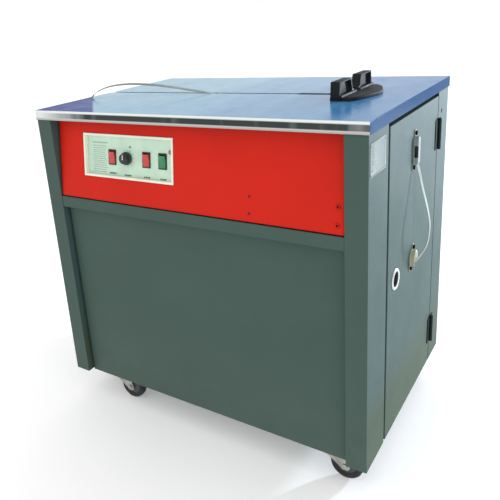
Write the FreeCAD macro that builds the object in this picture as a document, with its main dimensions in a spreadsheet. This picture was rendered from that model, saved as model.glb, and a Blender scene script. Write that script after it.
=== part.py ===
import FreeCAD, Part
import math
import os
import re

import Sketcher

# Semi-automatic strapping machine: a steel cabinet on four swivel casters with a two-part
# stainless table. A slot along X splits the table, and the strapping head hangs below it.
# X runs along the slot, Y from the control side to the back, Z up from the floor.
# Every piece is drawn in cabinet coordinates: X from the table's left edge, Y from its front
# edge, Z from the floor. Its Placement then moves it so that the row's origin is the middle
# of the whole footprint, strap loop and lid hinges included.

doc = FreeCAD.newDocument("strapping_machine")
sheet = doc.addObject("Spreadsheet::Sheet", "Dims")

SIZES = {
    "table_width": 850,
    "table_depth": 575,
    "table_height": 825,
    "table_sheet": 1.5,
    "lip_height": 24,
    "flange_height": 13,
    "slot_width": 14,
    "slot_end": 746,
    "seam_gap": 0.5,
    "strap_width": 12,
    "strap_thickness": 0.8,
    "body_inset": 2.5,
    "caster_height": 82,
    "frame_sheet": 2,
    "post_face": 45,
    "post_return": 33,
    "jamb_depth": 18,
    "stop_width": 30,
    "front_strip": 109,
    "rear_strip": 88.5,
    "rail_low": 576,
    "rail_high": 604,
    "panel_sheet": 1.5,
    "pan_depth": 16,
    "door_front": 122,
    "door_rear": 481,
    "door_top": 791,
    "base_thickness": 3,
    "lower_recess": 22.5,
    "panel_drop": 4,
    "fascia_foot_y": 6,
    "fascia_foot_z": 606,
    "fascia_rise": 194,
    "fascia_tilt": 7.5,
    "fascia_pan": 12,
    "panel_left": 133,
    "panel_low": 59,
    "panel_width": 272,
    "panel_rise": 105,
    "bezel_width": 5,
    "bezel_proud": 2,
    "face_recess": 8,
    "control_row": 108.5,
    "loop_reach": 35,
    "strap_y": 291,
    "loop_crown": 530,
    "eyelet_height": 707,
    "scoop_height": 459,
    "guide_left": 701,
    "hinge_reach": 6,
    "camshaft_height": 650,
    "motor_height": 450,
    "pulley_left": 318,
    "reel_height": 290,
    "reel_left": 612,
    "reel_width": 176,
    "reel_radius": 178,
    "core_radius": 98,
    "shaft_radius": 10,
    "feed_x": 740,
    "feed_height": 700,
    "running_gap": 0.05,
    "caster_inset": 105,
    "left_caster_inset": 119,
    "caster_front": 65,
    "caster_trail": 38,
    "wheel_radius": 37.5,
    "wheel_width": 24,
}

for row, (alias, number) in enumerate(SIZES.items(), start=1):
    sheet.set(f"A{row}", alias.replace("_", " "))
    sheet.set(f"B{row}", str(number))
    sheet.setAlias(f"B{row}", alias)
doc.recompute()


class size:
    """The sheet's numbers, for shapes that are worked out here rather than bound."""


for alias in SIZES:
    setattr(size, alias, float(sheet.get(alias)))

XMIN = "-(table_width + loop_reach) / 2"
YMIN = "-(table_depth + hinge_reach) / 2"
nodes = []


# --- Binding and placing -------------------------------------------------------------------


def formula(text):
    """Points each sheet alias in a size formula at the sheet."""
    return re.sub(r"[a-z][a-z_]+", lambda word: point_at_sheet(word.group()), str(text))


def point_at_sheet(word):
    return f"Dims.{word}" if word in SIZES else word


def bind(item, **properties):
    for name, text in properties.items():
        item.setExpression(name.replace("__", "."), formula(text))


def put(item, x="0", y="0", z="0", axis=None, angle="0"):
    """Places a piece in cabinet coordinates, turned about an axis by an angle in degrees."""
    if axis:
        item.Placement = FreeCAD.Placement(FreeCAD.Vector(), FreeCAD.Rotation(FreeCAD.Vector(*axis), 1))
        bind(item, Placement__Rotation__Angle=angle)
    bind(item, Placement__Base__x=x, Placement__Base__y=y, Placement__Base__z=z)
    return item


ALONG_X = {"axis": (0, 1, 0), "angle": "90"}
ALONG_Y = {"axis": (1, 0, 0), "angle": "-90"}


def node(label, item, x="0", y="0", z="0", **turn):
    """Names a finished sub-part and places it in the machine."""
    item.Label = label
    put(item, f"{XMIN} + {x}", f"{YMIN} + {y}", z, **turn)
    nodes.append(item)
    return item


# --- Bodies made of sketches ---------------------------------------------------------------


def new_body(name):
    return doc.addObject("PartDesign::Body", name)


def line_loop(first, corners):
    """The lines, joints and fixed corners of one closed loop, as geometry, constraints and their formulas."""
    count = len(corners)
    start = [FreeCAD.Vector(math.cos(i * 2 * math.pi / count), math.sin(i * 2 * math.pi / count), 0)
             for i in range(count)]
    lines = [Part.LineSegment(start[i], start[(i + 1) % count]) for i in range(count)]
    joints = [(Sketcher.Constraint("Coincident", first + i, 2, first + (i + 1) % count, 1), None)
              for i in range(count)]
    fixed = [pair for i, corner in enumerate(corners) for pair in fixed_point(first + i, 1, corner, start[i])]
    return lines, joints + fixed


def circle_loop(first, across, up, radius):
    start = FreeCAD.Vector(1, 1, 0)
    circle = Part.Circle(start, FreeCAD.Vector(0, 0, 1), 1)
    middle = fixed_point(first, 3, (across, up), start)
    return [circle], [*middle, (Sketcher.Constraint("Radius", first, 1), radius)]


def fixed_point(index, end, formulas, start):
    return [(Sketcher.Constraint(kind, -1, 1, index, end, value), text)
            for kind, text, value in zip(("DistanceX", "DistanceY"), formulas, (start.x, start.y))]


def rectangle(x_low, y_low, x_high, y_high):
    return [(x_low, y_low), (x_high, y_low), (x_high, y_high), (x_low, y_high)]


def sketch_on(body, plane, at, loops):
    """A sketch on the XY, XZ or YZ plane, moved along that plane's positive axis by `at`.

    A loop is a list of corners, or a circle written as (across, up, radius)."""
    sketch = body.newObject("Sketcher::SketchObject", "Sketch")
    origin = next(f for f in body.Origin.OriginFeatures if f.Role == plane + "_Plane")
    sketch.AttachmentSupport = [(origin, "")]
    sketch.MapMode = "FlatFace"
    sign = "-" if plane == "XZ" else ""
    bind(sketch, AttachmentOffset__Base__z=f"{sign}({at})")
    geometry, constraints = [], []
    for loop in loops:
        first = len(geometry)
        build = circle_loop(first, *loop) if isinstance(loop, tuple) else line_loop(first, loop)
        geometry += build[0]
        constraints += build[1]
    sketch.addGeometry(geometry, False)
    sketch.addConstraint([constraint for constraint, _ in constraints])
    for number, (_, text) in enumerate(constraints):
        if text is not None:
            sketch.setExpression(f"Constraints[{number}]", formula(text))
    return sketch


def pad(body, plane, start, length, *loops):
    feature = body.newObject("PartDesign::Pad", "Pad")
    feature.Profile = sketch_on(body, plane, start, loops)
    bind(feature, Length=length)
    feature.Reversed = plane == "XZ"
    return feature


def pocket(body, plane, start, length, *loops):
    before = body_volume(body)
    feature = body.newObject("PartDesign::Pocket", "Pocket")
    feature.Profile = sketch_on(body, plane, start, loops)
    bind(feature, Length=length)
    feature.Reversed = plane != "XZ"
    if body_volume(body) >= before:
        raise SystemExit(f"a pocket in {body.Name} cuts nothing")
    return feature


def body_volume(body):
    body.recompute(True)
    return body.Shape.Volume


def turned(name, profile):
    """A body turned about its Z axis from a profile of (radius, height) corners."""
    body = new_body(name)
    revolution = body.newObject("PartDesign::Revolution", "Turning")
    outline_sketch = sketch_on(body, "XZ", "0", [profile])
    revolution.Profile = outline_sketch
    revolution.ReferenceAxis = (outline_sketch, ["V_Axis"])
    revolution.Angle = 360
    return body


def polar(body, feature, count):
    pattern = body.newObject("PartDesign::PolarPattern", "Around")
    pattern.Originals = [feature]
    pattern.Axis = (feature.Profile[0], ["N_Axis"])
    pattern.Angle = 360
    pattern.Occurrences = count
    body.Tip = pattern
    return pattern


def soften(body, radius, wanted):
    """Fillets the edges of a body whose middle point the `wanted` test accepts."""
    body.recompute(True)
    tip = body.Tip
    edges = [f"Edge{i}" for i, edge in enumerate(tip.Shape.Edges, 1) if wanted(edge.CenterOfMass)]
    fillet = body.newObject("PartDesign::Fillet", "Bend")
    fillet.Base = (tip, edges)
    fillet.Radius = radius
    return body


def near(value, target, within=0.02):
    return abs(value - target) < within


# --- Solids made of primitives -------------------------------------------------------------


def box(x, y, z, length, width, height):
    item = doc.addObject("Part::Box", "Block")
    bind(item, Length=length, Width=width, Height=height)
    return put(item, x, y, z)


def rod(x, y, z, radius, height, **turn):
    item = doc.addObject("Part::Cylinder", "Rod")
    bind(item, Radius=radius, Height=height)
    return put(item, x, y, z, **turn)


def ring(x, y, z, outer, inner, height, **turn):
    return cut(rod(x, y, z, outer, height, **turn), rod(x, y, z, inner, height, **turn))


def cut(base, *tools):
    item = doc.addObject("Part::Cut", "Cut")
    item.Base = base
    item.Tool = tools[0] if len(tools) == 1 else fuse(*tools)
    return item


def fuse(*pieces):
    item = doc.addObject("Part::MultiFuse", "Weld")
    item.Shapes = list(pieces)
    return item


def group(*pieces):
    """Separate solids that share one node."""
    item = doc.addObject("Part::Compound", "Group")
    item.Links = list(pieces)
    return item


def outline(points, thickness, **place):
    """A flat plate cut to a polygon in the XZ plane, `thickness` deep along Y."""
    wire = Part.makePolygon([FreeCAD.Vector(x, 0, z) for x, z in points + points[:1]])
    item = doc.addObject("Part::Feature", "Plate")
    item.Shape = Part.Face(wire).extrude(FreeCAD.Vector(0, thickness, 0))
    return put(item, **place)


# --- Cabinet -------------------------------------------------------------------------------

FRAME_TOP = "table_height - table_sheet - 0.5"
FLOOR_PLATE_TOP = "caster_height + base_thickness"


def post_section(left, rear):
    """A corner post: front face, side strip, jamb and door stop, folded from one sheet."""
    outer, inner = "table_width - body_inset", "table_width - body_inset - post_face"
    strip_end = f"body_inset + {'rear_strip' if rear else 'front_strip'}"
    stop = f"{outer} - jamb_depth"
    corners = [
        (inner, "body_inset + post_return"),
        (inner, "body_inset"),
        (outer, "body_inset"),
        (outer, strip_end),
        (stop, strip_end),
        (stop, f"{strip_end} + stop_width"),
        (f"{stop} - frame_sheet", f"{strip_end} + stop_width"),
        (f"{stop} - frame_sheet", f"{strip_end} - frame_sheet"),
        (f"{outer} - frame_sheet", f"{strip_end} - frame_sheet"),
        (f"{outer} - frame_sheet", "body_inset + frame_sheet"),
        (f"{inner} + frame_sheet", "body_inset + frame_sheet"),
        (f"{inner} + frame_sheet", "body_inset + post_return"),
    ]
    return [(f"table_width - ({x})" if left else x, f"table_depth - ({y})" if rear else y)
            for x, y in corners]


def main_frame():
    body = new_body("frame")
    x_low, y_low = "body_inset + jamb_depth", "body_inset + post_return - frame_sheet"
    outer = rectangle(x_low, y_low, f"table_width - ({x_low})", f"table_depth - ({y_low})")

    def inside(margin):
        return rectangle(f"{x_low} + {margin}", f"{y_low} + {margin}",
                         f"table_width - ({x_low}) - {margin}", f"table_depth - ({y_low}) - {margin}")

    pad(body, "XY", FLOOR_PLATE_TOP, "3", outer, inside("30"))
    pad(body, "XY", FLOOR_PLATE_TOP, "25", outer, inside("3"))
    pad(body, "XY", "caster_height", f"{FRAME_TOP} - caster_height",
        post_section(False, False), post_section(True, False),
        post_section(False, True), post_section(True, True))
    span = "table_width - 2 * (body_inset + post_face) + 2"
    span_start = "body_inset + post_face - 1"
    front_rail = [("3.5", "rail_low"), ("5.5", "rail_low"), ("5.5", "rail_high - 2"),
                  ("28.5", "rail_high - 2"), ("28.5", "rail_high"), ("3.5", "rail_high")]
    pad(body, "YZ", span_start, span, front_rail)
    back = "table_depth - body_inset"
    rear_band = [(back, "755"), (back, "799"), (f"{back} - 25", "799"), (f"{back} - 25", "797"),
                 (f"{back} - 2", "797"), (f"{back} - 2", "755")]
    pad(body, "YZ", span_start, span, rear_band)
    top_front = [("33.5", f"{FRAME_TOP} - 3"), ("52", f"{FRAME_TOP} - 3"), ("52", "788"), ("55", "788"),
                 ("55", FRAME_TOP), ("33.5", FRAME_TOP)]
    top_rear = [(f"table_depth - {y}", z) for y, z in top_front]
    pad(body, "YZ", span_start, span, top_front)
    pad(body, "YZ", span_start, span, top_rear)
    crossing = [rectangle(x, "788", f"{x} + 20", "808") for x in ("60", "330", "690", "770")]
    pad(body, "XZ", "53", "table_depth - 106", *crossing)
    wall = "table_width - body_inset - frame_sheet"
    pocket(body, "YZ", f"{wall} - 1", "4", ("table_depth - 60", "751", "5"))
    return node("main_frame", body)


def base_plate():
    body = new_body("floor_plate")
    edge, front = "body_inset + jamb_depth + 3", "body_inset + post_return + 1"
    holes = [("table_width / 2 + 300 * %d" % side, "table_depth / 2 + 150 * %d" % end, "4")
             for side in (-1, 1) for end in (-1, 1)]
    pad(body, "XY", "caster_height", "base_thickness",
        rectangle(edge, front, f"table_width - ({edge})", f"table_depth - ({front})"), *holes)
    return node("base_plate", body)


def pan(name, width, rise, depth, *openings):
    """A folded sheet panel: front face on Y = 0, folded edges running back along Y."""
    body = new_body(name)
    pad(body, "XZ", "0", depth, rectangle("0", "0", width, rise))
    pocket(body, "XZ", "panel_sheet", depth,
           rectangle("panel_sheet", "panel_sheet", f"{width} - panel_sheet", f"{rise} - panel_sheet"))
    if openings:
        pocket(body, "XZ", "-1", "4", *openings)
    soften(body, 1.2, lambda at: near(at.y, 0))
    return body


INSIDE_POSTS = "body_inset + post_face + 1"
PANEL_SPAN = f"table_width - 2 * ({INSIDE_POSTS})"


def lower_front_panel():
    body = pan("front_pan", PANEL_SPAN, "rail_low - 1 - caster_height + panel_drop", "10")
    return node("lower_front_panel", body, INSIDE_POSTS, "lower_recess", "caster_height - panel_drop")


def rear_panel():
    rise = "754 - caster_height"
    slots = []
    for left in (90, 134, 178, 530, 574, 618):
        for row in range(7):
            low = 440 + 16 * row
            slots.append(rectangle(f"{left}", f"{low}", f"{left + 34}", f"{low + 5}"))
    outlet = ("120", "120", "8")
    body = pan("rear_pan", PANEL_SPAN, rise, "10", *slots, outlet)
    return node("rear_panel", body, f"table_width - ({INSIDE_POSTS})", "table_depth - 7.5", "caster_height",
                axis=(0, 0, 1), angle="180")


SIDE_SPAN = "door_rear - door_front"
SIDE_RISE = "door_top - caster_height"


def left_side_panel():
    span = "table_depth - rear_strip - front_strip - 2 * body_inset - 3"
    back = "table_depth - rear_strip - body_inset - 1.5"
    body = pan("left_pan", span, SIDE_RISE, "pan_depth")
    return node("left_side_panel", body, "body_inset", back, "caster_height", axis=(0, 0, 1), angle="-90")


# --- Table ---------------------------------------------------------------------------------

SHEET_BOTTOM = "table_height - table_sheet"
LIP_BOTTOM = "table_height - lip_height"


def table_half(name, rear):
    """Half of the table: a sheet with lips on three sides and a short flange along the slot."""
    body = new_body(name)
    slot_edge = "(table_depth - slot_width) / 2"

    def across(y):
        return f"table_depth - ({y})" if rear else y

    def area(x_low, y_low, x_high, y_high):
        return rectangle(x_low, across(y_low), x_high, across(y_high))

    pad(body, "XY", LIP_BOTTOM, "lip_height", area("0", "0", "table_width", slot_edge))
    pocket(body, "XY", LIP_BOTTOM, "lip_height - table_sheet",
           area("table_sheet", "table_sheet", "table_width - table_sheet", f"{slot_edge} - table_sheet"))
    pocket(body, "XY", LIP_BOTTOM, "lip_height - flange_height",
           area("table_sheet", f"{slot_edge} - 2 * table_sheet", "table_width - table_sheet", slot_edge))
    pocket(body, "XY", LIP_BOTTOM, "lip_height - table_sheet",
           area("570", f"{slot_edge} - 5", "708", slot_edge))
    pocket(body, "XY", LIP_BOTTOM, "lip_height + 1",
           area("586", f"{slot_edge} - 4", "700", f"{slot_edge} + 1"))
    if rear:
        seam = f"{slot_edge} + slot_width - seam_gap"
        pad(body, "XY", SHEET_BOTTOM, "table_sheet",
            area("slot_end", f"{slot_edge} - 1", "table_width", seam))
        pad(body, "XY", LIP_BOTTOM, "lip_height",
            area("table_width - table_sheet", f"{slot_edge} - 1", "table_width", seam))
    outer_y = size.table_depth if rear else 0
    return soften(body, 1.4, lambda at: near(at.y, outer_y) and at.z > size.table_height - 15
                  or (near(at.x, 0) or near(at.x, size.table_width)) and near(at.z, size.table_height))


def strap_guide_block():
    """The black strap end guide: a tapered foot with two hollow ears that leave the strap's gap open."""
    body = new_body("guide")
    middle, top = "table_depth / 2", "table_height"
    foot = [(-1, -98), (41, -95), (55, -70), (72, -8), (72, 20), (55, 70), (37, 97), (-1, 99)]
    pad(body, "XY", top, "8", [(f"guide_left + ({x})", f"{middle} + ({y})") for x, y in foot])
    ear = [(98, 4), (98, 12), (95, 40), (30, 40), (22, 16), (14, 14), (13, 4)]
    hollow = [(94.5, 6), (94.5, 12), (92, 37), (33, 37), (26, 16), (26, 6)]
    ledge = [(98, 4), (98, 12), (13, 12), (13, 4)]

    def slab(side, start, length, *loops):
        shapes = [[(f"{middle} {side} {y}", f"{top} + {z}") for y, z in loop] for loop in loops]
        pad(body, "YZ", f"guide_left + {start}", length, *shapes)

    for side in "-+":
        slab(side, 0, "12", ear)
        slab(side, 11, "9", ear, hollow)
        slab(side, 11, "14", ledge)
    over_front = rectangle("690", f"{middle} - 110", "800", f"{middle} + slot_width / 2")
    pocket(body, "XY", f"{top} - 1", "1.4", over_front)
    soften(body, 2.5, lambda at: near(at.z, size.table_height + 8) and at.x > 745)
    soften(body, 2, lambda at: near(at.z, size.table_height + 40))
    return node("strap_guide_block", body)


HINGE_AXIS_Y = "table_depth + 2"
HINGE_AXIS_Z = "796"
LID_HINGES = ("60", "710")


def lid_hinges():
    """Two butt hinges between the cabinet's rear band and the rear table half's lip."""
    fixed, moving = [], []
    for x in LID_HINGES:
        base = [box(x, "table_depth - body_inset", "762", "80", "2", "30")]
        flap = [box(x, "table_depth", "801.5", "80", "2", "20")]
        for step in range(5):
            start = f"{x} + {step * 16} + 0.1"
            knuckle = ring(start, HINGE_AXIS_Y, HINGE_AXIS_Z, "4", "1.55", "15.8", **ALONG_X)
            if step % 2:
                flap += [knuckle, box(start, f"{HINGE_AXIS_Y} - 2", f"{HINGE_AXIS_Z} + 3", "15.8", "2", "4")]
                continue
            base += [knuckle, box(start, f"{HINGE_AXIS_Y} - 4.5", f"{HINGE_AXIS_Z} - 5", "15.8", "2", "5")]
        pin = rod(f"{x} - 1", HINGE_AXIS_Y, HINGE_AXIS_Z, "1.5", "82", **ALONG_X)
        fixed += [fuse(*base), pin]
        moving.append(fuse(*flap))
    node("lid_hinge_base_leaves", group(*fixed))
    node("lid_hinge_flap_leaves", group(*moving))


# --- Fascia and controls -------------------------------------------------------------------
# These are drawn flat: X as in the cabinet, Y into the cabinet from the fascia's face, Z up
# its slope from its foot. FASCIA tilts them back.

FASCIA = {"y": "fascia_foot_y", "z": "fascia_foot_z", "axis": (1, 0, 0), "angle": "-fascia_tilt"}
SWITCHES = {"power_rocker": "218.5", "feed_rocker": "323", "reset_rocker": "370"}
KNOB_X = "265"
FACE = "face_recess"


def control_fascia():
    opening = rectangle("panel_left + 4", "panel_low + 4", "panel_left + panel_width - 4",
                        "panel_low + panel_rise - 4")
    shifted = [(f"{x} - ({INSIDE_POSTS})", z) for x, z in opening]
    screws = [(f"786.5 - ({INSIDE_POSTS})", z, "2.6") for z in ("18", "54")]
    body = pan("fascia_pan", PANEL_SPAN, "fascia_rise", "fascia_pan", shifted, *screws)
    rivets = [fuse(rod("786.5", "-1.6", z, "4.5", "1.6", **ALONG_Y),
                   rod("786.5", "0", z, "2.5", "8", **ALONG_Y)) for z in ("18", "54")]
    node("control_fascia", group(put(body, INSIDE_POSTS), *rivets), **FASCIA)


def control_panel():
    def frame_loop(margin):
        return rectangle(f"panel_left + {margin}", f"panel_low + {margin}",
                         f"panel_left + panel_width - ({margin})", f"panel_low + panel_rise - ({margin})")

    bezel = new_body("bezel")
    pad(bezel, "XZ", "-bezel_proud", "bezel_proud", frame_loop("0"), frame_loop("bezel_width"))
    pad(bezel, "XZ", "-0.5", "face_recess + 3", frame_loop("4.3"), frame_loop("5.8"))
    soften(bezel, 1.2, lambda at: near(at.y, -size.bezel_proud))
    node("control_bezel", bezel, **FASCIA)
    face = new_body("face")
    pad(face, "XZ", FACE, "2", frame_loop("6"))
    windows = [around(x, 10.5, 17.2) for x in SWITCHES.values()]
    pocket(face, "XZ", f"{FACE} - 1", "4", *windows, (KNOB_X, "control_row", "5.1"))
    node("control_face_plate", face, **FASCIA)


def around(x, half_width, half_rise):
    """A rectangle in the fascia's plane about a place on the row of controls."""
    low, high = f"control_row - {half_rise}", f"control_row + {half_rise}"
    return rectangle(f"{x} - {half_width}", low, f"{x} + {half_width}", high)


def rocker_switches():
    housings = []
    for label, x in SWITCHES.items():
        shell = new_body("switch")
        pad(shell, "XZ", f"{FACE} - 2", "2", around(x, 11.5, 18.5))
        pad(shell, "XZ", f"{FACE} - 1", "23", around(x, 10.3, 17))
        pocket(shell, "XZ", f"{FACE} - 3", "17", around(x, 8.9, 15.7))
        pocket(shell, "YZ", f"{x} - 10", "20", (f"{FACE} + 3", "control_row", "1.55"))
        soften(shell, 1, lambda at: near(at.y, size.face_recess - 2) and abs(at.z - size.control_row) > 16)
        blades = [box(f"{x} - 2.4", f"{FACE} + 21.5", f"control_row - 0.4 + {drop}", "4.8", "9", "0.8")
                  for drop in ("-9", "0", "9")]
        housings.append(fuse(shell, *blades))
        node(label, rocker(x), **FASCIA)
    node("switch_housings", group(*housings), **FASCIA)


def rocker(x):
    """A rocker cap resting with its lower half pressed in, on two stub pivots."""
    body = new_body("rocker")
    pivot_y = size.face_recess + 3
    row = size.control_row
    profile = [(-8, 14.2), (-5.5, 0), (-8, -14.2), (-3, -14.2), (5, -6.5), (5, 6.5), (-3, 14.2)]
    lean = math.radians(8)
    leaning = [(f"{pivot_y + y * math.cos(lean) - z * math.sin(lean):.4f}",
                f"{row + y * math.sin(lean) + z * math.cos(lean):.4f}") for y, z in profile]
    pad(body, "YZ", f"{x} - 8.6", "17.2", leaning)
    pad(body, "YZ", f"{x} - 9.7", "19.4", (f"{FACE} + 3", "control_row", "1.5"))
    return body


def timer():
    """The rotary timer control: a potentiometer behind the face plate and its knob."""
    case = fuse(rod(KNOB_X, f"{FACE} + 2", "control_row", "12", "11", **ALONG_Y),
                rod(KNOB_X, f"{FACE} - 2.2", "control_row", "5", "5.2", **ALONG_Y),
                box(f"{KNOB_X} - 7", f"{FACE} + 5", "control_row - 20", "14", "2", "12"))
    nut = rod(KNOB_X, f"{FACE} - 2", "control_row", "7", "2", **ALONG_Y)
    bore = rod(KNOB_X, f"{FACE} - 4", "control_row", "3 + running_gap", "14.5", **ALONG_Y)
    node("timer_potentiometer", cut(fuse(case, nut), bore), **FASCIA)
    knob = turned("knob", [("0", "0"), ("3", "0"), ("3", "12.4"), ("7.5", "12.4"), ("7.5", "13"),
                           ("15.5", "13"), ("15.5", "16.5"), ("12.6", "17.5"), ("11.8", "27"),
                           ("10.6", "28"), ("0", "28")])
    flute = pocket(knob, "XY", "17.8", "15", ("13.9", "0", "2.3"))
    polar(knob, flute, 18)
    put(knob, KNOB_X, f"{FACE} + 10", "control_row", axis=(1, 0, 0), angle="90")
    node("timer_knob", group(knob), **FASCIA)


# --- Side door -----------------------------------------------------------------------------

DOOR_FACE = "table_width - body_inset"
DOOR_AXIS_X = "table_width + 2"
DOOR_AXIS_Y = "door_rear + 1.5"
DOOR_HINGES = ("142", "665")
HINGE_RISE = 71
KNUCKLE = HINGE_RISE / 5
RING = {"y": "172", "z": "455"}
GUIDE_SCREWS = (("strap_y", "eyelet_height + 37"), ("strap_y - 10", "eyelet_height - 36"),
                ("strap_y + 8", "scoop_height + 22"), ("strap_y - 11", "scoop_height - 23"))
LUG = 1.5


def strap_way(z):
    """The hole behind a strap guide, where the strap passes through the door."""
    return rectangle("strap_y - 6", f"{z} - 7", "strap_y + 6", f"{z} + 9")


def side_door():
    openings = [(RING["y"], RING["z"], "18.8"), strap_way("eyelet_height"), strap_way("scoop_height")]
    openings += [(y, z, "2.1") for y, z in GUIDE_SCREWS]
    shifted = [shift_loop(loop, "door_front", "caster_height") for loop in openings]
    body = pan("door_pan", SIDE_SPAN, SIDE_RISE, "pan_depth", *shifted)
    node("side_door", body, DOOR_FACE, "door_front", "caster_height", axis=(0, 0, 1), angle="90")


def shift_loop(loop, across, up):
    """A loop of a sketch as seen from another origin."""
    if isinstance(loop, tuple):
        return f"{loop[0]} - {across}", f"{loop[1]} - {up}", loop[2]
    return [(f"{y} - {across}", f"{z} - {up}") for y, z in loop]


def door_hinges():
    """Two butt hinges with their knuckles outside, behind the door's rear edge."""
    on_post, on_leaf = [], []
    for z in DOOR_HINGES:
        post = [box(DOOR_FACE, f"{DOOR_AXIS_Y} + 5", z, "2", "18", f"{HINGE_RISE}")]
        leaf = [box(DOOR_FACE, f"{DOOR_AXIS_Y} - 21", z, "2", "16", f"{HINGE_RISE}")]
        for step in range(5):
            start, rise = f"{z} + {step * KNUCKLE} + 0.1", f"{KNUCKLE - 0.2}"
            knuckle = ring(DOOR_AXIS_X, DOOR_AXIS_Y, start, "4.5", "2.55", rise)
            side, reach = (leaf, f"{DOOR_AXIS_Y} - 6") if step % 2 else (post, DOOR_AXIS_Y)
            arm = box(DOOR_FACE, reach, start, "2", "6", rise)
            side.append(cut(fuse(knuckle, arm), rod(DOOR_AXIS_X, DOOR_AXIS_Y, start, "2.55", rise)))
        pin = fuse(rod(DOOR_AXIS_X, DOOR_AXIS_Y, f"{z} - 1", "2.5", f"{HINGE_RISE + 3}"),
                   rod(DOOR_AXIS_X, DOOR_AXIS_Y, f"{z} + {HINGE_RISE}", "4", "3"))
        on_post += [fuse(*post), pin]
        on_leaf.append(fuse(*leaf))
    node("door_hinge_post_leaves", group(*on_post))
    node("door_hinge_door_leaves", group(*on_leaf))


def door_fittings():
    pull = turned("pull", [("0", "-12"), ("18.6", "-12"), ("18.6", "0"), ("23.5", "0"), ("23.5", "1"),
                           ("21.5", "3"), ("18.5", "2.5"), ("17", "0"), ("17", "-10.5"), ("0", "-10.5")])
    node("door_pull_ring", pull, DOOR_FACE, RING["y"], RING["z"], **ALONG_X)
    reach = "jamb_depth - panel_sheet - 0.1"
    magnet = box(f"{DOOR_FACE} - jamb_depth", "door_front + 3.5", "440", reach, "8", "40")
    node("door_magnet", group(magnet))
    screws = [fuse(rod(f"{DOOR_FACE} - 4", y, z, "2", f"{4 + LUG}", **ALONG_X),
                   rod(f"{DOOR_FACE} + {LUG}", y, z, "5", "2.5", **ALONG_X))
              for y, z in GUIDE_SCREWS]
    node("door_guide_screws", group(*screws))


def strap_fairlead(label, z, half_width, half_rise, proud, lip, screws):
    """A moulded strap guide on the door: a thin flange with two screw lugs under a hollow dome.

    The dome is open at its foot, and its front wall stops `lip` above the flange's bottom edge."""
    body = new_body(label + "_body")

    def about(half_y, low, high):
        return rectangle(f"strap_y - {half_y}", f"{z} + ({low})", f"strap_y + {half_y}", f"{z} + ({high})")

    def arched(start, length, half_y, high):
        pad(body, "YZ", start, length, about(half_y, -high, high - half_y))
        pad(body, "YZ", start, length, ("strap_y", f"{z} + {high - half_y}", f"{half_y}"))

    arched(DOOR_FACE, f"{LUG}", half_width, half_rise)
    for y, height in screws:
        pad(body, "YZ", DOOR_FACE, f"{LUG}", (y, height, "7.5"))
    arched(DOOR_FACE, f"{proud}", half_width - 1.5, half_rise - 1)
    soften(body, 3, lambda at: near(at.x, size.table_width - size.body_inset + proud))
    inner, ceiling, below = half_width - 3.5, half_rise - 10, -half_rise - 1
    pocket(body, "YZ", f"{DOOR_FACE} + {LUG}", f"{proud - LUG - 2}", about(inner, below, ceiling))
    pocket(body, "YZ", f"{DOOR_FACE} - 1", "4", strap_way(z))
    if lip:
        pocket(body, "YZ", f"{DOOR_FACE} + {LUG}", f"{proud}", about(inner, below, lip - half_rise))
    else:
        corners = ((2, -15), (6.5, -15), (7.5, 9), (4, 9))
        window = [(f"{DOOR_FACE} + {x}", f"{z} + ({height})") for x, height in corners]
        pocket(body, "XZ", f"strap_y - {half_width}", f"{half_width}", window)
    pocket(body, "YZ", f"{DOOR_FACE} - 1", "4", *[(y, height, "2.1") for y, height in screws])
    return node(label, body)


def strap_loop():
    """The strap's outside loop: a long arc down from the eyelet, then a tighter one into the scoop."""
    crown_x = size.table_width + size.loop_reach

    def arc(radius, end_z, inset):
        turn = math.asin((end_z - size.loop_crown) / radius)
        reach = radius - inset
        return [FreeCAD.Vector(crown_x - radius + reach * math.cos(turn * part), 0,
                               size.loop_crown + reach * math.sin(turn * part)) for part in (0, 0.5, 1)]

    edges = []
    for radius, end_z in ((365, 682), (123.5, 446)):
        outer, inner = arc(radius, end_z, 0), arc(radius, end_z, size.strap_thickness)
        edges += [Part.Arc(*outer).toShape(), Part.Arc(*inner).toShape(), Part.makeLine(outer[2], inner[2])]
    face = Part.Face(Part.Wire(Part.sortEdges(edges)[0]))
    item = doc.addObject("Part::Feature", "Loop")
    item.Shape = face.extrude(FreeCAD.Vector(0, size.strap_width, 0))
    return node("strap_loop", item, y="strap_y - strap_width / 2")


def nameplate():
    plate = box(DOOR_FACE, "9", "720", "0.8", "86", "63")
    rivets = [rod(f"{DOOR_FACE} + 0.4", y, z, "2.2", "1.2", **ALONG_X)
              for y in ("13", "91") for z in ("724", "779")]
    return node("nameplate", fuse(plate, *rivets))


def strap_tail():
    """The strap's free end: up out of the slot, then an arc over to the table's left edge."""
    exit_x, reach, lift = 370.0, 366.0, 30.0
    thick = size.strap_thickness
    base = size.table_height + 1.5
    down = FreeCAD.Vector(0, 0, -thick)
    start = FreeCAD.Vector(0, 0, base + 8)
    crown = FreeCAD.Vector(-reach / 2, 0, base + lift)
    tip = FreeCAD.Vector(-reach, 0, base)
    edges = [Part.Arc(start, crown, tip).toShape(), Part.makeLine(tip, tip + down),
             Part.Arc(tip + down, crown + down, start + down).toShape(), Part.makeLine(start + down, start)]
    arc = Part.Face(Part.Wire(Part.sortEdges(edges)[0])).extrude(FreeCAD.Vector(0, size.strap_width, 0))
    leg = Part.makeBox(thick, size.strap_width, 22, FreeCAD.Vector(-thick, 0, base - 14))
    item = doc.addObject("Part::Feature", "Tail")
    item.Shape = arc.fuse(leg).removeSplitter()
    return node("strap_tail", item, f"{exit_x}", "table_depth / 2 - 6", "0", axis=(0, 0, 1), angle="13.5")


# --- Strapping head ------------------------------------------------------------------------

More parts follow.
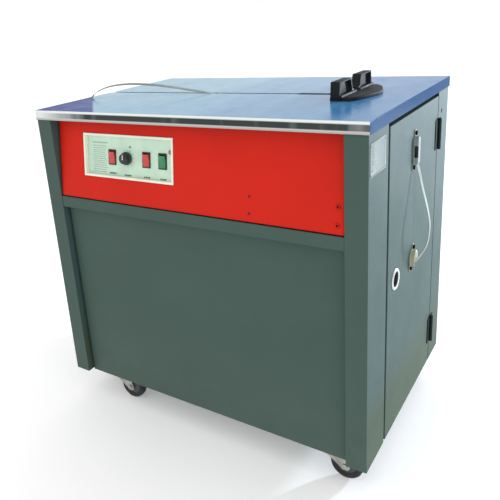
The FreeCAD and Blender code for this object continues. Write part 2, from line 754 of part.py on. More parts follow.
MIDDLE = "table_depth / 2"
SLIDERS = {"left_gripper": ("596", "14"), "press_head": ("616", "28"), "right_gripper": ("650", "14")}
SLIDER_TOP = "804"
SLIDER_FOOT = "704"


def head_frame():
    """Two end plates on the cross rails, tied by a floor and a slider guide block."""
    left = box("436", f"{MIDDLE} - 85", "380", "6", "170", "408")
    right = box("700", f"{MIDDLE} - 85", "600", "6", "170", "188")
    tops = [box("330", f"{MIDDLE} - 60", "782", "112", "120", "6"),
            box("700", f"{MIDDLE} - 60", "782", "30", "120", "6")]
    floor = box("440", f"{MIDDLE} - 85", "600", "262", "170", "6")
    guide = box("586", f"{MIDDLE} - 24", "725", "116", "48", "62.5")
    ways = [box(f"{x} - 0.1", f"{MIDDLE} - 14.1", "720", f"{width} + 0.2", "28.2", "75")
            for x, width in SLIDERS.values()]
    backing = box("690", f"{MIDDLE} - 24", "725", "12", "48", "60")
    feed = box("704", f"{MIDDLE} + 40", "660", "72", "6", "122")
    heater_stand = fuse(box("565", f"{MIDDLE} + 52", "740", "20", "20", "58"),
                        box("440", f"{MIDDLE} + 56", "744", "127", "12", "10"))
    bores = [rod("575", f"{MIDDLE} + 62", "765", "5 + running_gap", "40"),
             rod("430", MIDDLE, "camshaft_height", "shaft_radius + running_gap", "300", **ALONG_X),
             rod("430", MIDDLE, "motor_height", "20", "20", **ALONG_X),
             rod("feed_x", f"{MIDDLE} + 30", "feed_height", "6 + running_gap", "20", **ALONG_Y),
             rod("feed_x", f"{MIDDLE} + 30", "feed_height + 41", "5 + running_gap", "20", **ALONG_Y)]
    solid = fuse(left, right, *tops, floor, guide, backing, feed, heater_stand)
    node("head_frame", cut(solid, *ways, *bores))


def head_sliders():
    """The grippers and the press, each a block that rises in its own way on a cam roller."""
    for label, (x, width) in SLIDERS.items():
        block = box(x, f"{MIDDLE} - 14", SLIDER_FOOT, width, "28", f"{SLIDER_TOP} - {SLIDER_FOOT}")
        foot = rod(x, MIDDLE, SLIDER_FOOT, "10", width, **ALONG_X)
        teeth = [box(x, f"{MIDDLE} - 11 + {step * 5}", f"{SLIDER_TOP} - 1", width, "2", "2")
                 for step in range(5)]
        node(label, cut(fuse(block, foot), *teeth))


def anvil_and_heater():
    plate = box("592", f"{MIDDLE} - 20", "812", "78", "60", "9")
    ramp = box("592", f"{MIDDLE} + 36", "806", "78", "10", "8")
    node("slide_anvil", fuse(plate, ramp))
    post = rod("575", f"{MIDDLE} + 62", "770", "5", "38.6")
    arm = box("569", f"{MIDDLE} + 20", "808.6", "12", "48", "1.6")
    tongue = box("569", f"{MIDDLE} - 10", "808.6", "10", "32", "1.2")
    node("heater_blade", fuse(post, arm, tongue))


def camshaft():
    shaft = rod("396", MIDDLE, "camshaft_height", "shaft_radius", "314", **ALONG_X)
    cams = []
    for x, width, lobe in (("598", "10", 0), ("622", "16", 120), ("652", "10", 240)):
        lift_y = f"{MIDDLE} + {12 * math.cos(math.radians(lobe)):.3f}"
        lift_z = f"camshaft_height + {12 * math.sin(math.radians(lobe)):.3f}"
        cams += [rod(x, MIDDLE, "camshaft_height", "26", width, **ALONG_X),
                 rod(x, lift_y, lift_z, "22", width, **ALONG_X)]
    collar = rod("444", MIDDLE, "camshaft_height", "16", "12", **ALONG_X)
    node("camshaft", fuse(shaft, collar, *cams))


def gearbox():
    case = box("350", f"{MIDDLE} - 52", "597", "86", "104", "106")
    ribs = [box(f"{360 + 16 * step}", f"{MIDDLE} - 56", "605", "4", "112", "90") for step in range(5)]
    boss = rod("344", MIDDLE, "camshaft_height", "24", "8", **ALONG_X)
    bores = [rod("394", MIDDLE, "camshaft_height", "shaft_radius + running_gap", "60", **ALONG_X),
             rod("330", MIDDLE, "camshaft_height", "8 + running_gap", "50", **ALONG_X)]
    node("gearbox", cut(fuse(case, *ribs, boss), *bores))


def drive_motor():
    length = 146.0
    parts = [rod("442", MIDDLE, "motor_height", "62", f"{length}", **ALONG_X),
             rod("442", MIDDLE, "motor_height", "70", "8", **ALONG_X)]
    parts += [box("456", f"{MIDDLE} - 1.5", "motor_height", "110", "3", "66")]
    for step in range(1, 24):
        fin = group(box("456", "-1.5", "0", "110", "3", "66"))
        parts.append(put(fin, "0", MIDDLE, "motor_height", axis=(1, 0, 0), angle=str(step * 15)))
    parts.append(box("480", f"{MIDDLE} - 100", "motor_height - 25", "60", "42", "50"))
    bore = rod("430", MIDDLE, "motor_height", "8 + running_gap", "60", **ALONG_X)
    node("drive_motor", cut(fuse(*parts), bore))


MOTOR_PULLEY = 30
GEARBOX_PULLEY = 55
GROOVE = 7


def pulley(label, radius, z, shaft):
    profile = [("0", "0"), (str(radius), "0"), (str(radius), "4"), (str(radius - GROOVE), "7"),
               (str(radius - GROOVE), "17"), (str(radius), "20"), (str(radius), "24"), ("14", "24"),
               ("14", "20"), ("8", "20"), ("8", str(shaft)), ("0", str(shaft))]
    body = turned(label + "_body", profile)
    if radius > 40:
        window = pocket(body, "XY", "-1", "26", ("28", "0", "9"))
        polar(body, window, 5)
    node(label, body, "pulley_left", MIDDLE, z, **ALONG_X)


def drive_belt():
    """The V-belt as a closed loop that runs just clear of the two groove floors."""
    low, high = size.motor_height, size.camshaft_height

    def loop(extra):
        small, large = MOTOR_PULLEY - GROOVE + extra, GEARBOX_PULLEY - GROOVE + extra
        lean = math.asin((large - small) / (high - low))
        points = []
        for radius, middle, begin, sweep in ((large, high, -lean, math.pi + 2 * lean),
                                             (small, low, math.pi + lean, math.pi - 2 * lean)):
            points.append([FreeCAD.Vector(0, radius * math.cos(begin + sweep * part), middle
                                          + radius * math.sin(begin + sweep * part)) for part in (0, 0.5, 1)])
        over, under = points
        edges = [Part.Arc(*over).toShape(), Part.makeLine(over[2], under[0]),
                 Part.Arc(*under).toShape(), Part.makeLine(under[2], over[0])]
        return Part.Face(Part.Wire(Part.sortEdges(edges)[0]))

    item = doc.addObject("Part::Feature", "Belt")
    item.Shape = loop(6.3).cut(loop(0.3)).extrude(FreeCAD.Vector(9, 0, 0))
    node("drive_belt", item, "pulley_left + 7.5", MIDDLE)


def feed_rollers():
    for label, radius, shaft, z in (("feed_roller", "22", "6", "feed_height"),
                                    ("pressure_roller", "18", "5", "feed_height + 41")):
        tread = rod("feed_x", f"{MIDDLE} - 10", z, radius, "20", **ALONG_Y)
        core = rod("feed_x", f"{MIDDLE} - 14", z, "9", "50", **ALONG_Y)
        axle = rod("feed_x", f"{MIDDLE} - 16", z, shaft, "70", **ALONG_Y)
        nicks = [rod(f"feed_x + ({radius}) * {math.cos(turn):.4f}", f"{MIDDLE} - 11",
                     f"{z} + ({radius}) * {math.sin(turn):.4f}", "0.7", "22", **ALONG_Y)
                 for turn in (2 * math.pi * step / 24 for step in range(24))]
        node(label, cut(fuse(tread, core, axle), *nicks))
    case = fuse(rod("feed_x", f"{MIDDLE} + 46", "feed_height", "30", "62", **ALONG_Y),
                rod("feed_x", f"{MIDDLE} + 108", "feed_height", "22", "8", **ALONG_Y))
    bore = rod("feed_x", f"{MIDDLE} + 40", "feed_height", "6 + running_gap", "40", **ALONG_Y)
    node("feed_motor", cut(case, bore))


# --- Strap reel ----------------------------------------------------------------------------


def reel():
    post = box("598", f"{MIDDLE} - 60", FLOOR_PLATE_TOP, "6", "120", "312")
    foot = box("540", f"{MIDDLE} - 60", FLOOR_PLATE_TOP, "60", "120", "5")
    gussets = [outline([(560, 90), (600, 90), (600, 240)], 5, x="0", y=f"{MIDDLE} {side}", z="0")
               for side in ("- 58", "+ 53")]
    axle = rod("600", MIDDLE, "reel_height", "shaft_radius", "204", **ALONG_X)
    collar = rod("604", MIDDLE, "reel_height", "24", "7.5", **ALONG_X)
    keeper = rod("792", MIDDLE, "reel_height", "20", "6", **ALONG_X)
    node("reel_bracket", fuse(post, foot, *gussets, axle, collar, keeper))
    bore = "shaft_radius + running_gap"
    width = "reel_width"
    profile = [(bore, "0"), ("reel_radius", "0"), ("reel_radius", "3"), ("core_radius", "3"),
               ("core_radius", f"{width} - 3"), ("reel_radius", f"{width} - 3"), ("reel_radius", width),
               ("core_radius - 4", width), ("core_radius - 4", "4"), ("24", "4"), ("24", f"{width}"),
               (bore, width)]
    body = turned("reel_body", profile)
    window = pocket(body, "XY", "-1", "6", ("58", "0", "20"))
    polar(body, window, 6)
    slots = pocket(body, "XY", "-1", f"{width} + 2", ("138", "0", "24"))
    polar(body, slots, 6)
    node("reel_drum", body, "reel_left", MIDDLE, "reel_height", **ALONG_X)
    coil = ring("reel_left + 4", MIDDLE, "reel_height", "158", "core_radius + 0.5", f"{width} - 8", **ALONG_X)
    node("strap_coil", coil)


# --- Electrics -----------------------------------------------------------------------------


def electrics():
    core = box("110", "190", FLOOR_PLATE_TOP, "96", "80", "110")
    coils = [box("100", "180", f"{FLOOR_PLATE_TOP} + 20", "116", "100", "70")]
    feet = box("104", "180", FLOOR_PLATE_TOP, "108", "100", "4")
    node("transformer", fuse(core, *coils, feet))
    board = box("35", "280", "300", "2", "160", "220")
    parts = [box("36", "300", "320", "30", "40", "30"), box("36", "360", "330", "18", "50", "60")]
    parts += [box("36", f"{295 + 37 * step}", "440", "22", "24", "50") for step in range(3)]
    caps = [rod("36", f"{310 + 26 * step}", "405", "10", "34", **ALONG_X) for step in range(4)]
    posts = [rod("4", y, z, "3", "31.5", **ALONG_X) for y in ("288", "432") for z in ("308", "512")]
    node("control_board", fuse(board, *parts, *caps, *posts))


def power_cord():
    """The mains cord: a gland in the rear panel, a drop, and a tied bundle with its plug."""
    x, z = "table_width - 120 - body_inset - post_face - 1", "caster_height + 120"
    gland = rod(x, "table_depth - 15", z, "7.6", "19", **ALONG_Y)
    nut = rod(x, "table_depth - 7.4", z, "11", "6", **ALONG_Y)
    middle = f"{x} - 90"
    loop = doc.addObject("Part::Torus", "Coil")
    bind(loop, Radius1="66", Radius2="5.8")
    put(loop, middle, "table_depth - 0.5", f"{z} + 40", axis=(1, 0, 0), angle="90")
    lead = rod(f"{middle}", "table_depth - 0.5", z, "3.5", "90", **ALONG_X)
    plug = box(f"{middle} - 18", "table_depth - 6", f"{z} - 62", "36", "11", "46")
    node("power_cord", fuse(gland, nut, loop, lead, plug))


# --- Casters -------------------------------------------------------------------------------

CORNERS = {"front_left": (False, False), "front_right": (True, False), "rear_left": (False, True),
           "rear_right": (True, True)}


def caster_centre(right, rear):
    x = "table_width - caster_inset" if right else "left_caster_inset"
    y = "table_depth - caster_front" if rear else "caster_front"
    return x, y


CROWN_FOOT = "caster_height - 9.5"


def casters():
    plates = []
    for corner, (right, rear) in CORNERS.items():
        x, y = caster_centre(right, rear)
        plate = box(f"{x} - 35", f"{y} - 30", "caster_height - 3", "70", "60", "3")
        race = rod(x, y, f"{CROWN_FOOT} + 3", "22", "4")
        plates.append(cut(fuse(plate, race), rod(x, y, "caster_height - 12", "6 + running_gap", "12")))
        node(f"caster_fork_{corner}", caster_fork(), x, y, "0")
        node(f"caster_wheel_{corner}", caster_wheel(), f"{x} + caster_trail", y, "wheel_radius", **ALONG_Y)
    node("caster_plates", group(*plates))


def caster_fork():
    """A swivel fork about its own vertical axis, trailing along +X, with its axle bolt."""
    crown = rod("0", "0", CROWN_FOOT, "22", "2.9")
    stem = rod("0", "0", CROWN_FOOT, "6", "9")
    trail, axle, top = size.caster_trail, size.wheel_radius, size.caster_height - 7
    cheek = [(-20, top), (-20, top - 8), (trail - 12, axle - 4), (trail - 7, axle - 10),
             (trail + 7, axle - 10), (trail + 12, axle - 2), (trail + 4, top - 12), (22, top)]
    cheeks = [outline(cheek, 2.5, x="0", y=y, z="0") for y in ("-17.5", "15")]
    roof = box("-20", "-17.5", CROWN_FOOT, "36", "35", "2.5")
    bolt = rod("caster_trail", "-19", "wheel_radius", "4", "38", **ALONG_Y)
    heads = [rod("caster_trail", y, "wheel_radius", "7", "4", **ALONG_Y) for y in ("-21", "17")]
    return fuse(crown, stem, *cheeks, roof, bolt, *heads)


def caster_wheel():
    """A hub and a rounded tyre about the wheel's own axis, centred on its width."""
    half = "wheel_width / 2"
    body = turned("wheel", [("4 + running_gap", f"-({half})"), ("11", f"-({half})"), ("12", f"3 - {half}"),
                            ("24", f"5 - {half}"), ("25", f"2 - {half}"), ("wheel_radius - 3", f"1 - {half}"),
                            ("wheel_radius - 0.6", f"5 - {half}"), ("wheel_radius", "0"),
                            ("wheel_radius - 0.6", f"{half} - 5"), ("wheel_radius - 3", f"{half} - 1"),
                            ("25", f"{half} - 2"), ("24", f"{half} - 5"), ("12", f"{half} - 3"), ("11", half),
                            ("4 + running_gap", half)])
    return body


# --- Build and export ----------------------------------------------------------------------

main_frame()
base_plate()
lower_front_panel()
rear_panel()
left_side_panel()
node("front_table", table_half("front_half", False))
node("rear_table", table_half("rear_half", True))
strap_guide_block()
lid_hinges()
control_fascia()
control_panel()
rocker_switches()
timer()
side_door()
door_hinges()
door_fittings()
strap_fairlead("upper_strap_eyelet", "eyelet_height", 10.5, 31, 10, 0, GUIDE_SCREWS[:2])
strap_fairlead("lower_strap_scoop", "scoop_height", 15.5, 19, 11, 16, GUIDE_SCREWS[2:])
strap_loop()
strap_tail()
nameplate()
head_frame()
head_sliders()
anvil_and_heater()
camshaft()
gearbox()
drive_motor()
pulley("gearbox_pulley", GEARBOX_PULLEY, "camshaft_height", 60)
pulley("motor_pulley", MOTOR_PULLEY, "motor_height", 170)
drive_belt()
feed_rollers()
reel()
electrics()
power_cord()
casters()
doc.recompute()

for item in doc.Objects:
    if {"Invalid", "Error"} & set(item.State):
        raise SystemExit(f"{item.Name} ({item.Label}) failed to build: {item.State}")
for item in nodes:
    if item.Shape.isNull() or not item.Shape.isValid() or not item.Shape.Solids:
        raise SystemExit(f"{item.Label} has no valid solid")
os.makedirs("parts", exist_ok=True)
for item in nodes:
    item.Shape.exportStep(f"parts/{item.Label}.step")
print(len(nodes), "nodes")
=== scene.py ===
import math
import random

import bmesh
import bpy
from mathutils import Matrix, Vector


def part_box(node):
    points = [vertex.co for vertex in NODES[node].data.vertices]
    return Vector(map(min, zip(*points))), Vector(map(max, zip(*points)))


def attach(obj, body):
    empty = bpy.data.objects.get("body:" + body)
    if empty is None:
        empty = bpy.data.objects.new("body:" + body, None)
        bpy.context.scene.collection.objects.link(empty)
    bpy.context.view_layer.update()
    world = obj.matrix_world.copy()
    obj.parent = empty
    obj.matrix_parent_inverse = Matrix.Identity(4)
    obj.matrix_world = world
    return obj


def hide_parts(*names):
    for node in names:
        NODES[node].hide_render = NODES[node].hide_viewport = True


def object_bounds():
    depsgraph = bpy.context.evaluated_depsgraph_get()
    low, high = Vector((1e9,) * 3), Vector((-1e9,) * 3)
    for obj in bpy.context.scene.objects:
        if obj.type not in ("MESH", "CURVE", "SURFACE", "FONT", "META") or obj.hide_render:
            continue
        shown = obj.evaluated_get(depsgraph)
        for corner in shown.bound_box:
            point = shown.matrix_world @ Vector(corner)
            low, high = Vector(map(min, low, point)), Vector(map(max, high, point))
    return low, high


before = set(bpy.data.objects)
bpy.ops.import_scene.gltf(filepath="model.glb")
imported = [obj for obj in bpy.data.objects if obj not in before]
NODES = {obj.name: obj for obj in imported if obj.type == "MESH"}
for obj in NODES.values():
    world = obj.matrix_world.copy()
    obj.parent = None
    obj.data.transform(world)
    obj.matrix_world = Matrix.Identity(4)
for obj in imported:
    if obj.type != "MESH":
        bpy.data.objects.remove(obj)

MM = 0.001
CAD_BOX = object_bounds()
TABLE_LOW, TABLE_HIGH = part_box("front_table")
LEFT, FRONT, TOP = TABLE_LOW.x, TABLE_LOW.y, TABLE_HIGH.z
FLOOR = CAD_BOX[0].z


def at(x, y, z):
    """A point in the row frame from millimetres right of, behind and above the cabinet's front left foot."""
    return Vector((LEFT + x * MM, FRONT + y * MM, z * MM))


def offset(origin, x, y, z):
    """A point x, y and z millimetres from another."""
    return origin + Vector((x, y, z)) * MM


FASCIA_TILT = math.radians(7.5)
FASCIA_FOOT_Y, FASCIA_FOOT_Z = 6, 606


def on_fascia(x, y, z):
    """A point given in the control fascia's own plane, in millimetres: y behind its face, z up its slope."""
    return at(x, FASCIA_FOOT_Y + y * math.cos(FASCIA_TILT) + z * math.sin(FASCIA_TILT),
              FASCIA_FOOT_Z - y * math.sin(FASCIA_TILT) + z * math.cos(FASCIA_TILT))


# Where the fascia's two screws and two rivets are: rows up its slope, columns from the left.
FASCIA_ROWS = (18, 54)
SCREW_COLUMN, RIVET_COLUMN = 597, 786.5


# --- Node materials ------------------------------------------------------------------------


def feed(tree, socket, value):
    """Links a socket to another, or sets its value."""
    if isinstance(value, bpy.types.NodeSocket):
        tree.links.new(value, socket)
    elif socket.type == "RGBA":
        socket.default_value = (*value[:3], 1)
    else:
        socket.default_value = value


def add_node(tree, kind, settings=None, **inputs):
    """A node whose inputs go by name, with _ for a space, or by number, as _0, _1 and so on."""
    node = tree.nodes.new(kind)
    for key, value in (settings or {}).items():
        setattr(node, key, value)
    for key, value in inputs.items():
        feed(tree, node.inputs[int(key[1:]) if key[0] == "_" else key.replace("_", " ")], value)
    return node


class Finish:
    """A procedural material under construction: a Principled shader and the nodes that feed it."""

    def __init__(self, name):
        self.material = bpy.data.materials.new(name)
        self.material.use_nodes = True
        self.tree = self.material.node_tree
        self.tree.nodes.clear()
        self.shader = self.add("BsdfPrincipled")
        self.add("OutputMaterial", Surface=self.shader.outputs["BSDF"])
        self.place = self.add("TexCoord").outputs["Object"]

    def add(self, kind, settings=None, **inputs):
        return add_node(self.tree, "ShaderNode" + kind, settings, **inputs)

    def set(self, **inputs):
        """Feeds the shader and gives the finished material."""
        for key, value in inputs.items():
            feed(self.tree, self.shader.inputs[key.replace("_", " ")], value)
        return self.material

    def noise(self, scale, detail=3.0, rough=0.5, place=None):
        return self.add("TexNoise", Vector=place or self.place, Scale=scale, Detail=detail,
                        Roughness=rough).outputs["Fac"]

    def wave(self, direction, scale, place=None):
        return self.add("TexWave", {"bands_direction": direction}, Vector=place or self.place,
                        Scale=scale).outputs["Fac"]

    def stretched(self, x, y, z):
        return self.add("Mapping", Vector=self.place, Scale=(x, y, z)).outputs["Vector"]

    def ramp(self, value, low, high, to_low=0.0, to_high=1.0):
        """A straight slope from (low, to_low) to (high, to_high), level beyond both ends."""
        node = self.add("MapRange", {"clamp": True}, Value=value)
        for key, number in (("From Min", low), ("From Max", high), ("To Min", to_low), ("To Max", to_high)):
            node.inputs[key].default_value = number
        return node.outputs["Result"]

    def math(self, operation, first, second=0.0):
        return self.add("Math", {"operation": operation}, _0=first, _1=second).outputs["Value"]

    def product(self, first, *others):
        for other in others:
            first = self.math("MULTIPLY", first, other)
        return first

    def vector(self, operation, first, second=(0.0, 0.0, 0.0)):
        return self.add("VectorMath", {"operation": operation}, _0=first, _1=second).outputs

    def mix(self, factor, first, second, blend="MIX"):
        return self.add("Mix", {"data_type": "RGBA", "blend_type": blend},
                        _0=factor, _6=first, _7=second).outputs[2]

    def cloudy(self, first, second, scale, detail=4, rough=0.6, spread=(0.3, 0.7)):
        """A colour that drifts between two others."""
        return self.mix(self.ramp(self.noise(scale, detail, rough), *spread), first, second)

    def axis(self, letter):
        """Where the point is along an axis of the row frame."""
        return self.add("SeparateXYZ", Vector=self.place).outputs[letter]

    def facing(self, letter):
        """How far the surface looks along an axis, from -1 to 1."""
        return self.add("SeparateXYZ", Vector=self.add("TexCoord").outputs["Normal"]).outputs[letter]

    def distance(self, place):
        return self.vector("DISTANCE", self.place, tuple(place))["Value"]

    def off_axis(self, centre, across):
        """The distance from a line through centre. `across` is 0 along the line and 1 across it."""
        gap = self.vector("SUBTRACT", self.place, tuple(centre))["Vector"]
        return self.vector("LENGTH", self.vector("MULTIPLY", gap, across)["Vector"])["Value"]

    def bump(self, height, depth, strength=1.0, rounding=None):
        """Relief on the surface, over edges that are shaded as if they had a radius."""
        node = self.add("Bump", Height=height, Distance=depth, Strength=strength)
        if rounding is not None:
            feed(self.tree, node.inputs["Normal"], self.rounded(rounding))
        return node.outputs["Normal"]

    def rounded(self, radius):
        return self.add("Bevel", {"samples": 4}, Radius=radius).outputs["Normal"]

    def edges(self, radius):
        """1 on sharp outer edges, 0 on flats."""
        true_normal = self.add("NewGeometry").outputs["Normal"]
        return self.ramp(self.vector("DOT_PRODUCT", self.rounded(radius), true_normal)["Value"], 0.99, 0.8)


def shade(colour, factor):
    """A colour made darker or lighter."""
    return tuple(channel * factor for channel in colour)


DUST = (0.30, 0.28, 0.22)
DUSTY_BELOW, FULL_DUST_BELOW = 300 * MM, 70 * MM
# Painted reflection on faces that look right: a warm tint low down, a cool tint higher up.
LOW_REFLECTION_BELOW, HIGH_REFLECTION_ABOVE = 170 * MM, 280 * MM
LOW_REFLECTION_TINT, HIGH_REFLECTION_TINT = (0.92, 0.90, 0.74), (0.97, 1.03, 1.14)


def powder_coat(name, colour, rough=0.5, dust=0.1, gloss=0.12, spots=()):
    """Powder-coated sheet steel: fine orange peel, faint blotches, rubbed edges and painted shade in creases.

    Dust gathers low down. Faces that look to the right take a painted reflection tint, warm near the floor
    and cool above.
    Each spot is a (centre, radius, colour) painted over the rest."""
    f = Finish(name)
    base = f.cloudy(shade(colour, 0.93), shade(colour, 1.05), 5, 5)
    speck = f.ramp(f.noise(900, 2, 0.5), 0.35, 0.65)
    base = f.mix(f.math("MULTIPLY", speck, 0.12), base, shade(colour, 1.5))
    low = f.ramp(f.axis("Z"), DUSTY_BELOW, FULL_DUST_BELOW)
    grime = f.product(low, f.ramp(f.noise(14, 6, 0.7), 0.3, 0.8), dust)
    base = f.mix(grime, base, DUST)
    scuff = f.product(f.edges(1.2 * MM), f.ramp(f.noise(60, 4, 0.7), 0.5, 0.75), 0.6)
    base = f.mix(scuff, base, shade(colour, 1.9))
    # Painted reflection: faces that look right are tinted by height, warm low and cool high.
    side = f.math("GREATER_THAN", f.facing("X"), 0.7)
    painted_reflection_tint = f.mix(f.ramp(f.axis("Z"), LOW_REFLECTION_BELOW, HIGH_REFLECTION_ABOVE), LOW_REFLECTION_TINT, HIGH_REFLECTION_TINT)
    base = f.mix(1.0, base, f.mix(side, (1.0, 1.0, 1.0), painted_reflection_tint), "MULTIPLY")
    # Painted shade: where ambient occlusion finds creases and recesses, the colour darkens towards a dark
    # copy of itself.
    hollow = f.add("AmbientOcclusion", {"samples": 6}, Distance=11 * MM).outputs["AO"]
    painted_crease_shade = f.math("MULTIPLY", f.ramp(hollow, 0.45, 0.90, 1.0, 0.0), 0.8)
    base = f.mix(painted_crease_shade, base, shade(colour, 0.25))
    for centre, radius, spot_colour in spots:
        base = f.mix(f.math("LESS_THAN", f.distance(centre), radius), base, spot_colour)
    peel = f.noise(420, 2, 0.4)
    return f.set(Base_Color=base, Specular_IOR_Level=gloss,
                 Roughness=f.ramp(f.noise(9, 4, 0.6), 0.2, 0.8, rough - 0.05, rough + 0.08),
                 Normal=f.bump(peel, 0.06 * MM, 0.8, 0.8 * MM))


PALE_FILM = (0.17, 0.40, 0.56)
DEEP_FILM = (0.010, 0.16, 0.42)
ROYAL_FILM = (0.001, 0.012, 0.22)
# Painted shade: a darker blue for the rim that faces right.
SHADED_RIM_FILM = (0.012, 0.065, 0.17)
CLOUD_FILM = (0.22, 0.44, 0.62)
# Painted reflections on the bare front lip: paler above and below, dark in a band along its middle.
LIP_UPPER_REFLECTION, LIP_LOWER_REFLECTION = (0.74, 0.78, 0.76), (0.42, 0.40, 0.38)
LIP_REFLECTION = (0.020, 0.028, 0.028)
# The lifted corner ends on a slanting line, that far along the front, and it runs back at this slope.
LIFTED_TO, LIFTED_SLOPE = 202 * MM, 0.955
LIFTED_SOFTNESS = 4 * MM


def film_steel(name):
    """Stainless sheet: blue film over the top and sides, bare and polished on the front lip.

    The film is dark where it has been lifted at the front left corner, pale along the left and deeper
    blue towards the right. The lip carries painted reflections: a dark room in a band along its middle, paler
    above and below."""
    f = Finish(name)
    x = f.math("SUBTRACT", f.axis("X"), LEFT)
    y = f.math("SUBTRACT", f.axis("Y"), FRONT)
    z = f.math("SUBTRACT", f.axis("Z"), TOP)
    streak = f.ramp(f.noise(1, 4, 0.55, f.stretched(9, 1.2, 1)), 0.35, 0.65, -0.22, 0.22)
    deep = f.math("ADD", f.ramp(x, 200 * MM, 880 * MM), streak)
    film = f.mix(f.ramp(deep, 0.0, 1.0), PALE_FILM, DEEP_FILM)
    corner = f.math("ADD", x, f.math("MULTIPLY", y, LIFTED_SLOPE))
    lifted = f.ramp(corner, LIFTED_TO + LIFTED_SOFTNESS, LIFTED_TO - LIFTED_SOFTNESS)
    film = f.mix(lifted, film, ROYAL_FILM)
    film = f.mix(f.ramp(f.noise(5, 4, 0.6), 0.35, 0.7, 0.0, 0.25), film, CLOUD_FILM)
    front = f.math("LESS_THAN", f.facing("Y"), -0.55)
    rim = f.math("GREATER_THAN", f.facing("X"), 0.55)
    # Painted shade: the film on the rim that faces right is painted a darker blue.
    film = f.mix(rim, film, SHADED_RIM_FILM)
    # Painted reflection on the lip: a dark band along its middle, with paler painted reflections above and
    # below.
    band = f.product(f.ramp(z, -19.5 * MM, -17.5 * MM), f.ramp(z, -4.5 * MM, -7 * MM))
    patch = f.ramp(f.noise(1, 3, 0.6, f.stretched(14, 1, 1)), 0.28, 0.45, 0.78, 1.0)
    dark = f.product(band, patch, f.ramp(x, 20 * MM, 160 * MM, 0.1, 0.97))
    bright = f.mix(f.ramp(z, -17 * MM, -21 * MM), LIP_UPPER_REFLECTION, LIP_LOWER_REFLECTION)
    lip = f.mix(dark, bright, LIP_REFLECTION)
    dull = f.math("MAXIMUM", lifted, rim)
    ripple = f.noise(1, 3, 0.5, f.stretched(7, 14, 7))
    return f.set(Base_Color=f.mix(front, film, lip), Metallic=f.math("MULTIPLY", front, 0.95),
                 Roughness=f.ramp(f.noise(30, 4, 0.6), 0.3, 0.7, 0.16, 0.26),
                 Specular_IOR_Level=f.ramp(dull, 0, 1, 0.12, 0.01),
                 Coat_Weight=f.ramp(dull, 0, 1, 0.10, 0.0), Coat_Roughness=0.05,
                 Normal=f.bump(ripple, 0.25 * MM, 0.4, 0.8 * MM))


def machined(name, colour, rough=0.32, lines=(900, 12, 12)):
    """Ground or drawn metal with fine lines and a light oil film."""
    f = Finish(name)
    line = f.noise(1, 4, 0.6, f.stretched(*lines))
    base = f.cloudy(shade(colour, 0.72), colour, 18, 5, spread=(0.35, 0.7))
    base = f.mix(f.edges(0.8 * MM), base, shade(colour, 1.3))
    return f.set(Base_Color=base, Metallic=1.0, Roughness=f.ramp(line, 0.3, 0.7, rough - 0.08, rough + 0.12),
                 Normal=f.bump(line, 0.05 * MM, 0.6, 0.6 * MM))


def zinc_plate(name):
    """Bright zinc plating with its cloudy, faintly yellow spangle."""
    f = Finish(name)
    spangle = f.add("TexVoronoi", Vector=f.place, Scale=260.0).outputs["Distance"]
    return f.set(Base_Color=f.cloudy((0.336, 0.344, 0.336), (0.50, 0.49, 0.43), 45), Metallic=1.0,
                 Roughness=f.ramp(spangle, 0.0, 0.7, 0.22, 0.42),
                 Normal=f.bump(f.noise(380, 3, 0.5), 0.05 * MM, 0.7, 0.7 * MM))


def moulded(name, colour, rough=0.45, sheen=0.5, worn=1.6):
    """Injection-moulded plastic with a fine spark-eroded texture and handled edges."""
    f = Finish(name)
    base = f.cloudy(shade(colour, 0.9), shade(colour, 1.06), 22)
    rubbed = tuple(min(1.0, channel * worn + 0.02) for channel in colour)
    base = f.mix(f.math("MULTIPLY", f.edges(0.9 * MM), 0.35), base, rubbed)
    return f.set(Base_Color=base, Specular_IOR_Level=sheen,
                 Roughness=f.ramp(f.noise(55, 4, 0.6), 0.3, 0.7, rough - 0.06, rough + 0.08),
                 Normal=f.bump(f.noise(700, 2, 0.5), 0.08 * MM, 0.6, 0.7 * MM))


def lens_plastic(name, colour):
    """Translucent switch cap: coloured, glossy and lit a little from inside."""
    f = Finish(name)
    return f.set(Base_Color=f.cloudy(shade(colour, 0.8), colour, 60, 3, 0.5), Roughness=0.22,
                 Emission_Color=colour, Emission_Strength=0.12, Coat_Weight=0.5,
                 Normal=f.bump(f.wave("Z", 160.0), 0.1 * MM, 0.25, 0.8 * MM))


def strap_finish(name, shaded_end=False):
    """Embossed polypropylene strap: a fine diamond pattern, slightly milky and glossy.

    When its shaded end is asked for, painted shade darkens it towards the left, where the film under it is
    dark."""
    f = Finish(name)
    diamond = f.math("MAXIMUM", *(f.wave("DIAGONAL", 240.0, f.stretched(way, 1, 1)) for way in (1, -1)))
    base = f.cloudy((0.18, 0.22, 0.19), (0.27, 0.32, 0.28), 30, 3, 0.5)
    if shaded_end:
        # Painted shade: darker towards the left end.
        base = f.mix(f.ramp(f.axis("X"), LEFT + 130 * MM, LEFT + 260 * MM), (0.10, 0.11, 0.085), base)
    return f.set(Base_Color=base, Roughness=0.3, Alpha=0.9, Normal=f.bump(diamond, 0.15 * MM, 0.5))


def rubber(name, colour):
    """Matt black rubber with a little pale dust."""
    f = Finish(name)
    dust = f.math("MULTIPLY", f.ramp(f.noise(40, 6, 0.7), 0.5, 0.8), 0.35)
    return f.set(Base_Color=f.mix(dust, colour, (0.16, 0.15, 0.13)),
                 Roughness=f.ramp(f.noise(90, 4, 0.6), 0.3, 0.7, 0.54, 0.72),
                 Normal=f.bump(f.noise(520, 3, 0.6), 0.1 * MM, 0.7, 0.8 * MM))


OTHER_WHEEL = 50 * MM
FAR_AWAY = 10.0


